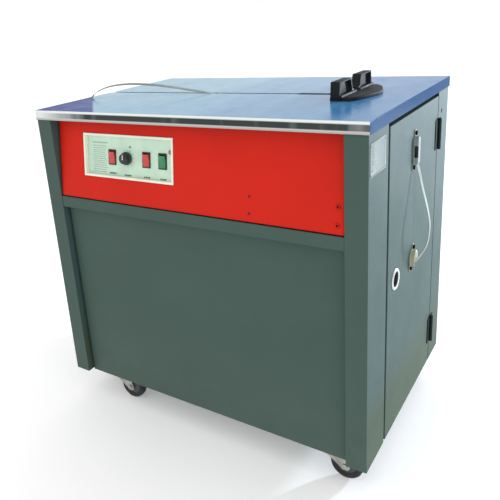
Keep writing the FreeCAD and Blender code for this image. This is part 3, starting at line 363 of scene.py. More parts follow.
def wheel_finish(name, centres, hub_radius):
    """A black rubber tyre about a grey plastic hub, told apart by distance from the nearest wheel's axle."""
    f = Finish(name)
    nearest = None
    for centre in centres:
        side = f.math("ABSOLUTE", f.math("SUBTRACT", f.axis("Y"), centre.y))
        another = f.math("MULTIPLY", f.math("GREATER_THAN", side, OTHER_WHEEL), FAR_AWAY)
        reach = f.math("ADD", f.off_axis(centre, (1.0, 0.0, 1.0)), another)
        nearest = reach if nearest is None else f.math("MINIMUM", nearest, reach)
    tyre = f.math("GREATER_THAN", nearest, hub_radius)
    dust = f.ramp(f.noise(60, 6, 0.7), 0.45, 0.8)
    black = f.mix(f.math("MULTIPLY", dust, 0.4), (0.006, 0.006, 0.007), (0.08, 0.075, 0.07))
    hub = f.mix(dust, (0.05, 0.052, 0.055), (0.10, 0.10, 0.10))
    return f.set(Base_Color=f.mix(tyre, hub, black), Roughness=f.ramp(tyre, 0, 1, 0.4, 0.62),
                 Normal=f.bump(f.noise(480, 3, 0.6), 0.1 * MM, 0.6, 0.8 * MM))


def windings(name):
    """Varnished transformer: laminated steel lines and a warm lacquer."""
    f = Finish(name)
    layers = f.wave("Y", 380.0)
    base = f.mix(f.ramp(layers, 0.3, 0.7), (0.10, 0.055, 0.03), (0.34, 0.17, 0.07))
    return f.set(Base_Color=base, Metallic=0.4, Roughness=0.34, Coat_Weight=0.4,
                 Normal=f.bump(layers, 0.2 * MM, 0.5, 1.0 * MM))


BOARD_FACE = at(37.2, 0, 0).x
BOARD_BLEND = 0.4 * MM


def circuit_board(name):
    """Green solder mask with paler tracks. The parts that stand on the board are dark."""
    f = Finish(name)
    cells = f.add("TexVoronoi", {"distance": "CHEBYCHEV"}, Vector=f.place, Scale=150.0).outputs["Distance"]
    green = f.mix(f.ramp(cells, 0.42, 0.45), (0.01, 0.10, 0.035), (0.03, 0.22, 0.08))
    tall = f.ramp(f.axis("X"), BOARD_FACE, BOARD_FACE + BOARD_BLEND)
    return f.set(Base_Color=f.mix(tall, green, (0.05, 0.05, 0.06)), Roughness=0.4, Coat_Weight=0.3,
                 Normal=f.bump(f.noise(300, 3, 0.5), 0.1 * MM, 0.4, 0.6 * MM))


PULL_CENTRE = at(850, 172, 455)
PULL_CUP_RADIUS = 17.8 * MM


def pull_finish(name):
    """The finger pull: a bright rim around a cup painted near-black, painted shade of the finger hole."""
    f = Finish(name)
    # Painted shade: near-black inside the cup's radius.
    rim = f.math("GREATER_THAN", f.off_axis(PULL_CENTRE, (0.0, 1.0, 1.0)), PULL_CUP_RADIUS)
    grain = f.noise(380, 3, 0.5)
    return f.set(Base_Color=f.mix(rim, (0.008, 0.010, 0.010), (0.72, 0.76, 0.75)),
                 Metallic=f.math("MULTIPLY", rim, 0.6), Roughness=f.ramp(grain, 0.3, 0.7, 0.3, 0.5),
                 Normal=f.bump(grain, 0.05 * MM, 0.6, 0.7 * MM))


OPENING_FOOT, OPENING_HEIGHT = at(849.6, 283.6, 692), 25 * MM


def eyelet_finish(name):
    """Pale moulding with painted shade: a near-black patch where the opening is, in the wall that faces the
    front.
    """
    f = Finish(name)
    pale = f.cloudy((0.20, 0.23, 0.22), (0.26, 0.29, 0.28), 22)
    # Painted shade: the opening's inside is given a near-black colour.
    wall = f.product(f.math("LESS_THAN", f.axis("Y"), OPENING_FOOT.y),
                     f.math("GREATER_THAN", f.axis("X"), OPENING_FOOT.x))
    band = f.product(f.math("GREATER_THAN", f.axis("Z"), OPENING_FOOT.z),
                     f.math("LESS_THAN", f.axis("Z"), OPENING_FOOT.z + OPENING_HEIGHT))
    return f.set(Base_Color=f.mix(f.product(wall, band), pale, (0.004, 0.005, 0.005)), Roughness=0.42,
                 Specular_IOR_Level=0.3, Normal=f.bump(f.noise(700, 2, 0.5), 0.08 * MM, 0.6, 0.7 * MM))


def floor_finish(name):
    """A pale, faintly uneven floor that glows a little, so that it stays near white."""
    f = Finish(name)
    return f.set(Base_Color=f.cloudy((0.93, 0.93, 0.93), (0.96, 0.96, 0.96), 1.5, 3, 0.5), Roughness=0.8,
                 Specular_IOR_Level=0.2, Emission_Color=(1, 1, 1), Emission_Strength=0.2)


# --- Dressing the CAD nodes ----------------------------------------------------------------

WELD_GAP = 0.01 * MM
LARGE_FACE = 150 * MM ** 2
FLAT_ANGLE = 0.008


def facing_nodes(name, sharp_degrees):
    """Smooth shading that stops at sharp edges and at the rims of large flat faces, so flats stay flat."""
    group = bpy.data.node_groups.new(name, "GeometryNodeTree")
    for way in ("INPUT", "OUTPUT"):
        group.interface.new_socket("Geometry", in_out=way, socket_type="NodeSocketGeometry")

    def combine(operation, first, second):
        return add_node(group, "ShaderNodeMath", {"operation": operation}, _0=first, _1=second).outputs[0]

    def shade_smooth(domain, mesh, chosen, smooth):
        return add_node(group, "GeometryNodeSetShadeSmooth", {"domain": domain},
                        _0=mesh, _1=chosen, _2=smooth).outputs[0]

    angle = add_node(group, "GeometryNodeInputMeshEdgeAngle").outputs[0]
    area = add_node(group, "GeometryNodeInputMeshFaceArea").outputs[0]
    sharp = combine("GREATER_THAN", angle, math.radians(sharp_degrees))
    bent = combine("GREATER_THAN", angle, FLAT_ANGLE)
    rim = combine("MULTIPLY", bent, combine("GREATER_THAN", area, LARGE_FACE))
    mesh = add_node(group, "NodeGroupInput").outputs[0]
    smooth = shade_smooth("FACE", mesh, True, True)
    cut = shade_smooth("EDGE", smooth, combine("MAXIMUM", sharp, rim), False)
    add_node(group, "NodeGroupOutput", _0=cut)
    return group


PLAIN_FACING = facing_nodes("plain_facing", 32)
ROUNDED_FACING = facing_nodes("rounded_facing", 50)


def dress(node_names, material, radius=0.0):
    """Gives CAD nodes a material, shading that follows their shape, and a radius on their edges if wanted."""
    for name in node_names:
        piece = NODES[name]
        piece.data.materials.clear()
        piece.data.materials.append(material)
        if "custom_normal" in piece.data.attributes:
            piece.data.attributes.remove(piece.data.attributes["custom_normal"])
        weld = piece.modifiers.new("Weld", "WELD")
        weld.merge_threshold = WELD_GAP
        if radius:
            edge = piece.modifiers.new("Radius", "BEVEL")
            edge.width = radius
            edge.segments = 2
            edge.limit_method = "ANGLE"
            edge.angle_limit = math.radians(40)
        facing = piece.modifiers.new("Facing", "NODES")
        facing.node_group = ROUNDED_FACING if radius else PLAIN_FACING


SHEET_EDGE, SWITCH_EDGE, STEEL_EDGE, WHEEL_EDGE = 0.2 * MM, 0.3 * MM, 0.4 * MM, 0.5 * MM
MOULDED_EDGE, CAST_EDGE, LACQUER_EDGE = 0.6 * MM, 0.8 * MM, 1.0 * MM
HUB_RADIUS = 24.7 * MM
# Each rivet gets a dark disc on the red paint: painted shade of its mandrel hole.
RIVET_RADIUS, RIVET_HOLE_SHADE = 2.7 * MM, (0.03, 0.006, 0.005)

rivets = [(on_fascia(RIVET_COLUMN, -1, row), RIVET_RADIUS, RIVET_HOLE_SHADE) for row in FASCIA_ROWS]
painted = powder_coat("paint_grey", (0.060, 0.098, 0.084))
# Near-black hinge leaves: partly their dark finish, partly painted shade of the gap they stand in.
dark_paint_and_shade = powder_coat("paint_dark_and_shade", (0.012, 0.022, 0.022), dust=0.0)
red_paint = powder_coat("paint_red", (0.60, 0.018, 0.008), rough=0.42, dust=0.0, gloss=0.1, spots=rivets)
motor_paint = powder_coat("motor_enamel", (0.06, 0.085, 0.10), rough=0.34)
film = film_steel("blue_film_steel")
zinc = zinc_plate("zinc_plate")
steel = machined("ground_steel", (0.46, 0.47, 0.49))
dark_steel = machined("oiled_steel", (0.20, 0.20, 0.21), rough=0.42)
cast = machined("cast_alloy", (0.50, 0.51, 0.52), rough=0.5, lines=(260, 260, 260))
brass = machined("brass", (0.58, 0.40, 0.16), rough=0.34)
black_plastic = moulded("black_plastic", (0.012, 0.013, 0.015), rough=0.34)
guide_plastic = moulded("guide_plastic", (0.018, 0.020, 0.022), rough=0.55, sheen=0.12)
cream_plastic = moulded("cream_plastic", (0.36, 0.36, 0.25), rough=0.36, worn=1.05)
pale_plastic = moulded("pale_plastic", (0.17, 0.20, 0.20), rough=0.34, worn=1.1)
face_plastic = moulded("face_plate", (0.55, 0.74, 0.59), rough=0.5, worn=1.05)
bezel_plastic = moulded("bezel_plastic", (0.88, 0.88, 0.76), rough=0.4, worn=1.05)
reel_plastic = moulded("reel_plastic", (0.03, 0.03, 0.032))
screw_black = moulded("screw_black", (0.003, 0.004, 0.004), rough=0.7, sheen=0.0)
plate_grey = moulded("name_plate", (0.26, 0.30, 0.30), rough=0.5, sheen=0.1)
ink = moulded("print_ink", (0.05, 0.06, 0.055), rough=0.6)
pale_ink = moulded("print_grey", (0.28, 0.38, 0.31), rough=0.6)
brown_ink = moulded("print_brown", (0.27, 0.18, 0.15), rough=0.6)
white_ink = moulded("print_white", (0.75, 0.76, 0.72), rough=0.5, worn=1.05)
red_lens = lens_plastic("red_lens", (0.55, 0.020, 0.012))
green_lens = lens_plastic("green_lens", (0.004, 0.19, 0.06))
strap = strap_finish("strap")
strap_end = strap_finish("strap_free_end", shaded_end=True)
cord_rubber = rubber("cord_rubber", (0.012, 0.012, 0.013))
belt_rubber = rubber("belt_rubber", (0.02, 0.02, 0.02))

FORKS = [name for name in NODES if name.startswith("caster_fork")]
WHEELS = [name for name in NODES if name.startswith("caster_wheel")]
wheel_centres = [sum(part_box(name), Vector()) / 2 for name in WHEELS]
tyres = wheel_finish("caster_wheel", wheel_centres, HUB_RADIUS)

dress(["main_frame", "base_plate", "lower_front_panel", "left_side_panel", "rear_panel", "side_door"],
      painted)
dress(["door_hinge_post_leaves", "door_hinge_door_leaves"], dark_paint_and_shade)
dress(["control_fascia"], red_paint)
dress(["front_table", "rear_table"], film)
dress(["control_bezel"], bezel_plastic)
dress(["control_face_plate"], face_plastic)
dress(["door_pull_ring"], pull_finish("finger_pull"))
dress(["nameplate"], plate_grey, SHEET_EDGE)
dress(["heater_blade"], brass, SHEET_EDGE)
dress(["switch_housings", "timer_knob", "door_magnet"], black_plastic, SWITCH_EDGE)
dress(["control_board"], circuit_board("circuit_board"), SWITCH_EDGE)
dress(["lid_hinge_base_leaves", "lid_hinge_flap_leaves", "caster_plates", *FORKS], zinc, STEEL_EDGE)
dress(["power_rocker", "feed_rocker"], red_lens, STEEL_EDGE)
dress(["reset_rocker"], green_lens, STEEL_EDGE)
dress(["timer_potentiometer", "head_frame", "reel_bracket"], steel, STEEL_EDGE)
dress(["door_guide_screws"], screw_black, STEEL_EDGE)
dress(["camshaft", "left_gripper", "right_gripper", "press_head", "slide_anvil", "feed_roller",
       "pressure_roller"], dark_steel, STEEL_EDGE)
dress(WHEELS, tyres, WHEEL_EDGE)
dress(["strap_guide_block"], guide_plastic, MOULDED_EDGE)
dress(["upper_strap_eyelet"], eyelet_finish("eyelet"), MOULDED_EDGE)
dress(["lower_strap_scoop"], cream_plastic, MOULDED_EDGE)
dress(["reel_drum"], reel_plastic, MOULDED_EDGE)
dress(["gearbox", "gearbox_pulley", "motor_pulley"], cast, CAST_EDGE)
dress(["drive_motor", "feed_motor"], motor_paint, CAST_EDGE)
dress(["transformer"], windings("windings"), LACQUER_EDGE)


# --- Pieces made here ----------------------------------------------------------------------


def mesh_piece(name, build, material, body, stands_for=None, smooth_degrees=32):
    """A piece from a bmesh builder, in the row frame, riding on a body. It may stand for a soft CAD node."""
    mesh = bpy.data.meshes.new(name)
    work = bmesh.new()
    build(work)
    bmesh.ops.recalc_face_normals(work, faces=work.faces)
    work.to_mesh(mesh)
    work.free()
    mesh.materials.append(material)
    mesh.shade_smooth()
    mesh.set_sharp_from_angle(angle=math.radians(smooth_degrees))
    piece = bpy.data.objects.new(name, mesh)
    bpy.context.scene.collection.objects.link(piece)
    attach(piece, body)
    if stands_for:
        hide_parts(stands_for)


def skin(work, rings, closed):
    """Faces between neighbouring rings of corners, with flat ends unless the rings close on themselves."""
    corners = len(rings[0])
    for i in range(len(rings) if closed else len(rings) - 1):
        a, b = rings[i], rings[(i + 1) % len(rings)]
        for j in range(corners):
            k = (j + 1) % corners
            work.faces.new((a[j], a[k], b[k], b[j]))
    if not closed:
        work.faces.new(rings[0])
        work.faces.new(list(reversed(rings[-1])))


def lathe(work, profile, centre, axis, steps):
    """Turns a closed (radius, along) profile, in millimetres, about an axis through centre."""
    side = axis.orthogonal().normalized()
    other = axis.cross(side)
    rings = []
    for step in range(steps):
        angle = 2 * math.pi * step / steps
        out = side * math.cos(angle) + other * math.sin(angle)
        rings.append([work.verts.new(centre + (out * radius + axis * along) * MM)
                      for radius, along in profile])
    skin(work, rings, closed=True)


def smooth_path(points, count):
    """A Catmull-Rom curve through the points, sampled evenly in parameter."""
    ends = [points[0] * 2 - points[1], *points, points[-1] * 2 - points[-2]]
    spans = len(points) - 1
    path = []
    for step in range(count):
        where = step / (count - 1) * spans
        i = min(int(where), spans - 1)
        s = where - i
        a, b, c, d = ends[i:i + 4]
        path.append(0.5 * (2 * b + (c - a) * s + (2 * a - 5 * b + 4 * c - d) * s * s
                           + (3 * b - a - 3 * c + d) * s ** 3))
    return path


def heading(path, i):
    """The unit direction of an open path at its point i."""
    return (path[min(i + 1, len(path) - 1)] - path[max(i - 1, 0)]).normalized()


STRAP_HALF_WIDTH, STRAP_HALF_THICK = 6 * MM, 0.5 * MM
STRAP_SHOULDER = 0.93


def band(work, path, sides):
    """The strap along a path: `sides` are the unit vectors across its width."""
    rings = []
    for i, (centre, side) in enumerate(zip(path, sides)):
        up = heading(path, i).cross(side).normalized() * STRAP_HALF_THICK
        across = side * STRAP_HALF_WIDTH
        shoulder = across * STRAP_SHOULDER
        outline = (-across, up - shoulder, up + shoulder, across, shoulder - up, -shoulder - up)
        rings.append([work.verts.new(centre + corner) for corner in outline])
    skin(work, rings, closed=False)


# The loop hangs this far back from the cabinet's front, and its ends are twisted by these degrees.
LOOP_LINE = 291
LOOP_TWIST_TOP, LOOP_TWIST_FOOT = 16, 28
LOOP_TWISTED_SHARE = 0.35


def strap_loop():
    """The strap out of the upper eyelet, bulging away from the door, and back into the scoop."""
    outline = ((851, 690), (854.2, 677), (860.3, 653), (865.8, 627), (873.8, 597), (880, 571), (883.7, 550),
               (884.6, 530), (882.3, 504), (876.6, 484), (866.5, 465), (858.6, 453), (851.5, 447))
    path = smooth_path([at(x, LOOP_LINE, z) for x, z in outline], count=90)
    across = Vector((0.0, 1.0, 0.0))

    def twisted(i):
        """Across the band, which is turned a little about its own line near both ends."""
        share = i / (len(path) - 1)
        near_top = max(0.0, 1 - share / LOOP_TWISTED_SHARE)
        near_foot = max(0.0, (share - 1) / LOOP_TWISTED_SHARE + 1)
        turn = math.radians(LOOP_TWIST_TOP * near_top + LOOP_TWIST_FOOT * near_foot)
        return (across * math.cos(turn) + heading(path, i).cross(across) * math.sin(turn)).normalized()

    sides = [twisted(i) for i in range(len(path))]
    mesh_piece("strap_loop_band", lambda work: band(work, path, sides), strap, "door",
               stands_for="strap_loop")


# The tail is out of the slot above TAIL_CLEAR, and only its first steps can be in the slot.
TAIL_CLEAR = TOP + 4 * MM
TAIL_IN_SLOT = 40
TAIL_LEANS_FROM = at(340, 0, 0).x
TAIL_LEAN = Vector((0.0, 0.0, -0.22))
TAIL_EASING = 12


def strap_tail():
    """The strap's free end: it rises out of the slot, turns over and lies towards the left edge."""
    outline = ((374, 288.2, 806), (371, 287.4, 813), (362, 284.8, 821), (345, 280, 825.6),
               (328, 275, 829.2), (294, 265, 835.6), (260, 255, 842.6), (225, 245, 848.6),
               (189, 234.5, 853.8), (153, 224, 857.2), (116, 213.3, 857.8), (77.6, 202.2, 854.2),
               (45.6, 193, 845), (30, 188.5, 836), (21, 185.9, 827))
    path = smooth_path([at(*point) for point in outline], count=140)

    def across(i):
        """Square to the slot while the band is in it, then level, then leaning forward."""
        along = heading(path, i)
        if i < TAIL_IN_SLOT and path[i].z < TAIL_CLEAR:
            return Vector((0.0, -1.0, 0.0))
        level = Vector((-along.y, along.x, 0.0)).normalized()
        leans = path[i].x < TAIL_LEANS_FROM and path[i].z > TAIL_CLEAR
        return (level + TAIL_LEAN).normalized() if leans else level

    last = len(path) - 1
    sides = [across(i) for i in range(len(path))]
    for _ in range(TAIL_EASING):
        sides = [(sides[max(i - 1, 0)] + sides[i] + sides[min(i + 1, last)]).normalized()
                 for i in range(len(path))]
    mesh_piece("strap_tail_band", lambda work: band(work, path, sides), strap_end, "root",
               stands_for="strap_tail")


COIL_CORE_RADIUS, COIL_UNEVENNESS = 98.6, 3.5
COIL_STRANDS = 14
# One strand's outline: the share of its width, and the drop below its top.
STRAND_SECTION = ((0.03, 2.2), (0.06, 0.0), (0.94, 0.0), (0.97, 2.2))


def strap_coil():
    """The wound coil: strands laid side by side across the reel, with a slightly uneven top layer."""
    low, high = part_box("strap_coil")
    middle = Vector((low.x, (low.y + high.y) / 2, (low.z + high.z) / 2))
    outer, width = (high.z - low.z) / 2 / MM, (high.x - low.x) / MM
    pitch = width / COIL_STRANDS
    dice = random.Random(7)
    profile = [(COIL_CORE_RADIUS, 0.0)]
    for strand in range(COIL_STRANDS):
        radius = outer - dice.uniform(0.0, COIL_UNEVENNESS)
        profile += [(radius - drop, (strand + share) * pitch) for share, drop in STRAND_SECTION]
    profile.append((COIL_CORE_RADIUS, width))
    mesh_piece("strap_coil_wound", lambda work: lathe(work, profile, middle, Vector((1, 0, 0)), steps=96),
               strap, "reel", stands_for="strap_coil", smooth_degrees=20)


CORD_RADIUS = 2.9 * MM
CORD_SIDES = 12
STEEP = 0.9


def tube(work, path):
    """A round cord along an open path, with flat ends."""
    start = heading(path, 0)
    reference = Vector((0, 0, 1)) if abs(start.z) < STEEP else Vector((1, 0, 0))
    normal = start.cross(reference).normalized()
    angles = [2 * math.pi * step / CORD_SIDES for step in range(CORD_SIDES)]
    rings = []
    for i, centre in enumerate(path):
        along = heading(path, i)
        normal = (normal - along * normal.dot(along)).normalized()
        other = along.cross(normal)
        spokes = [normal * math.cos(angle) + other * math.sin(angle) for angle in angles]
        rings.append([work.verts.new(centre + spoke * CORD_RADIUS) for spoke in spokes])
    skin(work, rings, closed=False)


def block(work, low, high, bevel):
    """A box with softened edges."""
    made = bmesh.ops.create_cube(work, size=1.0)["verts"]
    size, centre = high - low, (low + high) / 2
    for vertex in made:
        vertex.co = vertex.co * size + centre
    edges = {edge for vertex in made for edge in vertex.link_edges}
    bmesh.ops.bevel(work, geom=list(edges), offset=bevel, segments=2, affect="EDGES", profile=0.5)


GLAND_INSET, GLAND_HEIGHT = 11 * MM, 202 * MM
BUNDLE_FROM_GLAND = (-90, 7.2, 40)
BUNDLE_TURNS, BUNDLE_STEPS = 4, 40
BUNDLE_START = -0.46
BUNDLE_RADIUS = 67
PLUG_FROM_BUNDLE = (0, 1.5, -84)
TIE_ANGLES = (0.6, 2.4, 4.3)


def wound(turn):
    """A point of the bundle, in millimetres from its centre. Each turn wanders a little from the last."""
    angle = BUNDLE_START + turn * 2 * math.pi
    radius = BUNDLE_RADIUS - 2.6 * math.sin(turn * 2.1)
    return (math.cos(angle) * radius, 1.6 * math.sin(turn * 2.6) + 0.6,
            math.sin(angle) * radius * (1 + 0.05 * math.sin(turn * 1.7)))


def power_cord():
    """The mains cord wound in a tied bundle against the rear panel, with its gland and plug."""
    panel_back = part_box("rear_panel")[1].y
    gland = Vector((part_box("power_cord")[1].x - GLAND_INSET, panel_back, FLOOR + GLAND_HEIGHT))
    centre = offset(gland, *BUNDLE_FROM_GLAND)
    plug_top = offset(centre, *PLUG_FROM_BUNDLE)

    def cord(work):
        gland_profile = ((4, -6), (7, -6), (7, 0.2), (11, 0.2), (11, 5), (8.5, 6.5), (6.5, 11), (4, 11.5))
        lathe(work, gland_profile, gland, Vector((0, 1, 0)), steps=24)
        lead = smooth_path([offset(gland, 0, 2, 0), offset(gland, -1, 8, -2), offset(gland, -8, 9, -14),
                            offset(gland, -22, 8, -12), offset(centre, 60, 2, -30)], count=24)
        steps = BUNDLE_TURNS * BUNDLE_STEPS + 1
        coil = [offset(centre, *wound(step / BUNDLE_STEPS)) for step in range(steps)]
        tube(work, lead + coil)
        tube(work, smooth_path([coil[-1], offset(centre, 48, 3, -66), offset(centre, 15, 3, -74),
                                offset(centre, 0, 2, -86)], count=16))

    def plug(work):
        body = ((2.8, 0), (5.2, 0), (6.2, -10), (8, -12), (8.6, -32), (7.4, -35), (2.8, -35))
        lathe(work, body, plug_top, Vector((0, 0, 1)), steps=24)
        for x in (-4.2, 4.2):
            block(work, offset(plug_top, x - 1.2, -2.2, -48), offset(plug_top, x + 1.2, 2.2, -34), 0.4 * MM)

    def ties(work):
        for angle in TIE_ANGLES:
            spot = offset(centre, BUNDLE_RADIUS * math.cos(angle), 0, BUNDLE_RADIUS * math.sin(angle))
            along = Vector((-math.sin(angle), 0, math.cos(angle)))
            lathe(work, ((6.6, -2), (7.6, -2), (7.6, 2), (6.6, 2)), spot, along, steps=20)

    mesh_piece("cord_bundle", cord, cord_rubber, "root", stands_for="power_cord",
               smooth_degrees=40)
    mesh_piece("mains_plug", plug, cord_rubber, "root", smooth_degrees=40)
    mesh_piece("cord_ties", ties, pale_plastic, "root", smooth_degrees=40)


# The belt's outline across and outward from its middle line.
BELT_SECTION = ((-4.6, 3.0), (4.6, 3.0), (4.6, 2.2), (3.4, -2.6), (-3.4, -2.6), (-4.6, 2.2))
MOTOR_BELT_RADIUS, GEARBOX_BELT_RADIUS = 26.2, 51.2
BELT_ARC_STEPS = 40


def drive_belt():
    """A V-belt with a flat back and sloped sides, on the CAD belt's own loop."""
    motor, gearbox = (sum(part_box(node), Vector()) / 2 for node in ("motor_pulley", "gearbox_pulley"))
    middle = sum(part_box("drive_belt"), Vector()) / 2
    lean = math.asin((GEARBOX_BELT_RADIUS - MOTOR_BELT_RADIUS) * MM / (gearbox.z - motor.z))
    arcs = ((gearbox, GEARBOX_BELT_RADIUS, -lean, math.pi + 2 * lean),
            (motor, MOTOR_BELT_RADIUS, math.pi + lean, math.pi - 2 * lean))

    def build(work):
        rings = []
        for centre, radius, start, sweep in arcs:
            for step in range(BELT_ARC_STEPS + 1):
                angle = start + sweep * step / BELT_ARC_STEPS
                out = Vector((0, math.cos(angle), math.sin(angle)))
                line = Vector((middle.x, centre.y, centre.z))
                rings.append([work.verts.new(line + (Vector((across, 0, 0)) + out * (radius + up)) * MM)
                              for across, up in BELT_SECTION])
        skin(work, rings, closed=True)

    mesh_piece("v_belt", build, belt_rubber, "root", stands_for="drive_belt",
               smooth_degrees=30)


BOX_SIDES = ((0, 1, 2, 3), (7, 6, 5, 4), (0, 4, 5, 1), (1, 5, 6, 2), (2, 6, 7, 3), (3, 7, 4, 0))


def slab(work, outline, front, back):
    """A thin flat piece in the fascia's own plane, from an outline of four (x, z) points."""
    corners = [work.verts.new(on_fascia(x, y, z)) for y in (front, back) for x, z in outline]
    for side in BOX_SIDES:
        work.faces.new([corners[i] for i in side])


FACE_DEPTH = 8


def inked(work, x_low, z_low, x_high, z_high):
    """A flat printed dash on the control face."""
    outline = ((x_low, z_low), (x_high, z_low), (x_high, z_high), (x_low, z_high))
    slab(work, outline, FACE_DEPTH - 0.25, FACE_DEPTH + 0.05)


# Places on the control face, in millimetres from the fascia's left end and up its slope.
KNOB = (265, 108.5)
# A label's middle, its foot and its number of letters.
LABELS = ((218.5, 68.5, 5), (265, 66.5, 5), (323, 66.5, 4), (370, 65.5, 4))
LETTER_WIDTH, LETTER_PITCH, LETTER_HEIGHTS = 3.2, 4.4, (3.0, 3.8)
DIAL_RADIUS, DIAL_MARKS, DIAL_START, DIAL_STEP, DIAL_DOT = 19.5, 11, 140, -28, 0.7
ARROW_FOOT, ARROW_ROWS = (KNOB[0] + 9, KNOB[1] + 25), 4
HEADING = (155, 140.4, 204, 142.6)
RULES_LEFT, RULES_TOP, RULES, RULE_PITCH, RULE_HEIGHT = 157, 133, 13, 5.2, 1.5
DASHES_STOP, RULES_RIGHT, DASH_LENGTHS, DASH_GAP = 196, 203, (4, 11), 1.6
STAMP, STAMP_HALF_WIDTH, STAMP_ROWS, STAMP_PITCH, STAMP_LINE = (390.5, 130.5), 4.6, 9, 1.2, 1.1


def panel_print():
    """Plain dashes for the panel's labels, a block of paler dashes, dial marks and a plain oval stamp."""
    dice = random.Random(11)

    def labels(work):
        for middle, foot, letters in LABELS:
            start = middle + 1 - letters * LETTER_PITCH / 2
            for letter in range(letters):
                x = start + letter * LETTER_PITCH
                inked(work, x, foot, x + LETTER_WIDTH, foot + dice.uniform(*LETTER_HEIGHTS))
        for mark in range(DIAL_MARKS):
            angle = math.radians(DIAL_START + mark * DIAL_STEP)
            x, z = KNOB[0] + DIAL_RADIUS * math.sin(angle), KNOB[1] + DIAL_RADIUS * math.cos(angle)
            inked(work, x - DIAL_DOT, z - DIAL_DOT, x + DIAL_DOT, z + DIAL_DOT)
        for row in range(ARROW_ROWS):
            x, z, half = ARROW_FOOT[0], ARROW_FOOT[1] + row * 1.3, 3 - row * 0.7
            inked(work, x - half, z, x + half, z + 1.1)

    def rules(work):
        inked(work, *HEADING)
        for row in range(RULES):
            x, z = RULES_LEFT, RULES_TOP - row * RULE_PITCH
            while x < DASHES_STOP:
                dash = dice.uniform(*DASH_LENGTHS)
                inked(work, x, z, min(x + dash, RULES_RIGHT), z + RULE_HEIGHT)
                x += dash + DASH_GAP

    def stamp(work):
        for row in range(STAMP_ROWS):
            height = row - (STAMP_ROWS - 1) / 2
            z = STAMP[1] + height * STAMP_PITCH
            half = STAMP_HALF_WIDTH * math.sqrt(1 - (2 * height / STAMP_ROWS) ** 2)
            inked(work, STAMP[0] - half, z - STAMP_LINE / 2, STAMP[0] + half, z + STAMP_LINE / 2)

    mesh_piece("panel_labels", labels, ink, "root")
    mesh_piece("panel_rules", rules, pale_ink, "root")
    mesh_piece("panel_stamp", stamp, brown_ink, "root")


KNOB_FRONT = -10
POINTER = ((-1.4, -2), (1.4, -2), (0.9, 9.6), (-0.9, 9.6))


def knob_pointer():
    """A pale pointer line inlaid in the timer knob's end."""
    outline = [(KNOB[0] + x, KNOB[1] + z) for x, z in POINTER]
    mesh_piece("knob_pointer", lambda work: slab(work, outline, KNOB_FRONT - 0.3, KNOB_FRONT + 0.2),
               white_ink, "timer")


def fascia_screws():
    """Two small dark screws in the fascia, left of its rivets."""
    outward = (on_fascia(0, -1, 0) - on_fascia(0, 0, 0)).normalized()
    head = ((0.4, -0.5), (2.6, -0.5), (2.4, 0.9), (1.4, 1.5), (0.4, 1.0))

    def build(work):
        for row in FASCIA_ROWS:
            lathe(work, head, on_fascia(SCREW_COLUMN, 0, row), outward, steps=20)

    mesh_piece("fascia_screws", build, black_plastic, "root")


BORDER_INSET, BORDER_LINE = 2.5, 0.6
ROW_MARGIN, FIRST_ROW, ROW_PITCH = 6 * MM, 9 * MM, 6 * MM
ROW_LENGTHS, ROW_HEIGHT = (12, 26), 1.2


def nameplate_rules():
    """A plain line along the top and foot of the rating plate, with a few plain dashes between."""
    low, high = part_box("nameplate")
    dice = random.Random(5)

    def dash(work, start, length, height):
        """A line that stands just proud of the plate, from its low front corner, in millimetres."""
        block(work, offset(start, -0.1, 0, 0), offset(start, 0.06, length, height), 0.01 * MM)

    def build(work):
        length = (high.y - low.y) / MM - 2 * BORDER_INSET
        for z in (low.z + BORDER_INSET * MM, high.z - BORDER_INSET * MM):
            dash(work, Vector((high.x, low.y + BORDER_INSET * MM, z)), length, BORDER_LINE)
        row = high.z - FIRST_ROW
        while row > low.z + ROW_MARGIN:
            dash(work, Vector((high.x, low.y + ROW_MARGIN, row)), dice.uniform(*ROW_LENGTHS), ROW_HEIGHT)
            row -= ROW_PITCH

    mesh_piece("nameplate_rules", build, pale_ink, "root")


nameplate_rules()
panel_print()
knob_pointer()
fascia_screws()
strap_loop()
strap_tail()
strap_coil()
power_cord()
drive_belt()


# --- Stage, light and camera ---------------------------------------------------------------

FLOOR_HALF_SIDE = 200.0
FLOOR_GAP = 0.5 * MM
KEY_PLACE, KEY_TARGET = Vector((2.5, 4.05, 1.1)), Vector((0.4, 0.0, 0.55))
KEY_SIDE, KEY_POWER, KEY_COLOUR = 0.26, 215, (0.88, 0.98, 1.14)


def stage():
    """A plain pale floor just under the casters."""
    mesh = bpy.data.meshes.new("floor")
    work = bmesh.new()
    bmesh.ops.create_grid(work, x_segments=1, y_segments=1, size=FLOOR_HALF_SIDE)
    work.to_mesh(mesh)
    work.free()
    mesh.materials.append(floor_finish("studio_floor"))
    floor = bpy.data.objects.new("floor", mesh)
    floor.location.z = FLOOR - FLOOR_GAP
    bpy.context.scene.collection.objects.link(floor)


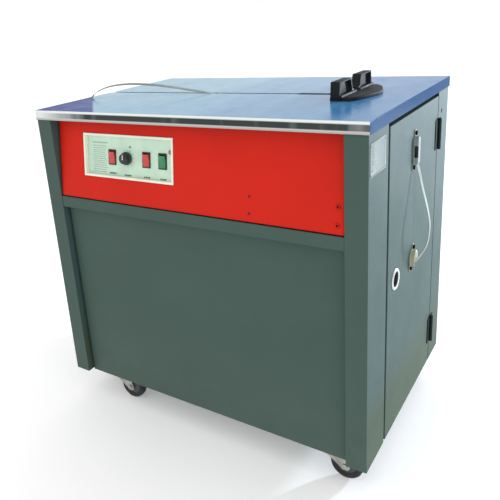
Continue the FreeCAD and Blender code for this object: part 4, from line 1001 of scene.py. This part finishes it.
def lighting():
    """An even white studio, and one cool key light from behind on the right."""
    world = bpy.data.worlds.new("studio")
    world.use_nodes = True
    background = world.node_tree.nodes["Background"]
    background.inputs["Color"].default_value = (1.0, 1.0, 1.0, 1)
    background.inputs["Strength"].default_value = 1.0
    bpy.context.scene.world = world
    light = bpy.data.lights.new("key_behind_right", "AREA")
    light.shape = "SQUARE"
    light.size = KEY_SIDE
    light.energy = KEY_POWER
    light.color = KEY_COLOUR
    lamp = bpy.data.objects.new("key_behind_right", light)
    lamp.location = KEY_PLACE
    lamp.rotation_mode = "QUATERNION"
    lamp.rotation_quaternion = (KEY_TARGET - KEY_PLACE).to_track_quat("-Z", "Y")
    bpy.context.scene.collection.objects.link(lamp)


# The camera's place from the front left corner of the table, and its own right and ahead directions.
CAMERA_FROM_TABLE = Vector((1.1908, -0.9960, 0.2072))
VIEW_RIGHT = Vector((0.81799, 0.56907, -0.08396))
VIEW_AHEAD = Vector((-0.56456, 0.76623, -0.30685))
LENS, SENSOR_WIDTH = 43.16, 36
LENS_SHIFT = {"shift_x": 0.1192, "shift_y": -0.0940}
SHIFT_REACH = 20 * MM


def camera():
    """The reference view. Its picture is cropped off-centre, so the lens shifts, but only from this place."""
    data = bpy.data.cameras.new("camera")
    data.lens = LENS
    data.sensor_width = SENSOR_WIDTH
    data.clip_start = 10 * MM
    cam = bpy.data.objects.new("camera", data)
    right = VIEW_RIGHT.normalized()
    back = -(VIEW_AHEAD - right * VIEW_AHEAD.dot(right)).normalized()
    up = back.cross(right)
    place = Vector((LEFT, FRONT, TOP)) + CAMERA_FROM_TABLE
    turn = Matrix((right, up, back)).transposed()
    cam.matrix_world = Matrix.Translation(place) @ turn.to_4x4()
    bpy.context.scene.collection.objects.link(cam)
    bpy.context.scene.camera = cam
    spot = bpy.data.objects.new("photo_spot", None)
    spot.location = place
    bpy.context.scene.collection.objects.link(spot)
    for channel, amount in LENS_SHIFT.items():
        shift_only_here(data, channel, amount, cam, spot)


def shift_only_here(data, channel, amount, cam, spot):
    """Drives a lens shift by the camera's distance from its spot: full there, none a little way off."""
    curve = data.driver_add(channel)
    curve.driver.type = "SUM"
    gap = curve.driver.variables.new()
    gap.type = "LOC_DIFF"
    gap.targets[0].id = cam
    gap.targets[1].id = spot
    for modifier in list(curve.modifiers):
        curve.modifiers.remove(modifier)
    while curve.keyframe_points:
        curve.keyframe_points.remove(curve.keyframe_points[0])
    for distance, value in ((0.0, amount), (SHIFT_REACH, 0.0)):
        key = curve.keyframe_points.insert(distance, value)
        key.interpolation = "LINEAR"
    curve.extrapolation = "CONSTANT"


stage()
lighting()
camera()
bpy.context.scene.view_settings.view_transform = "Standard"
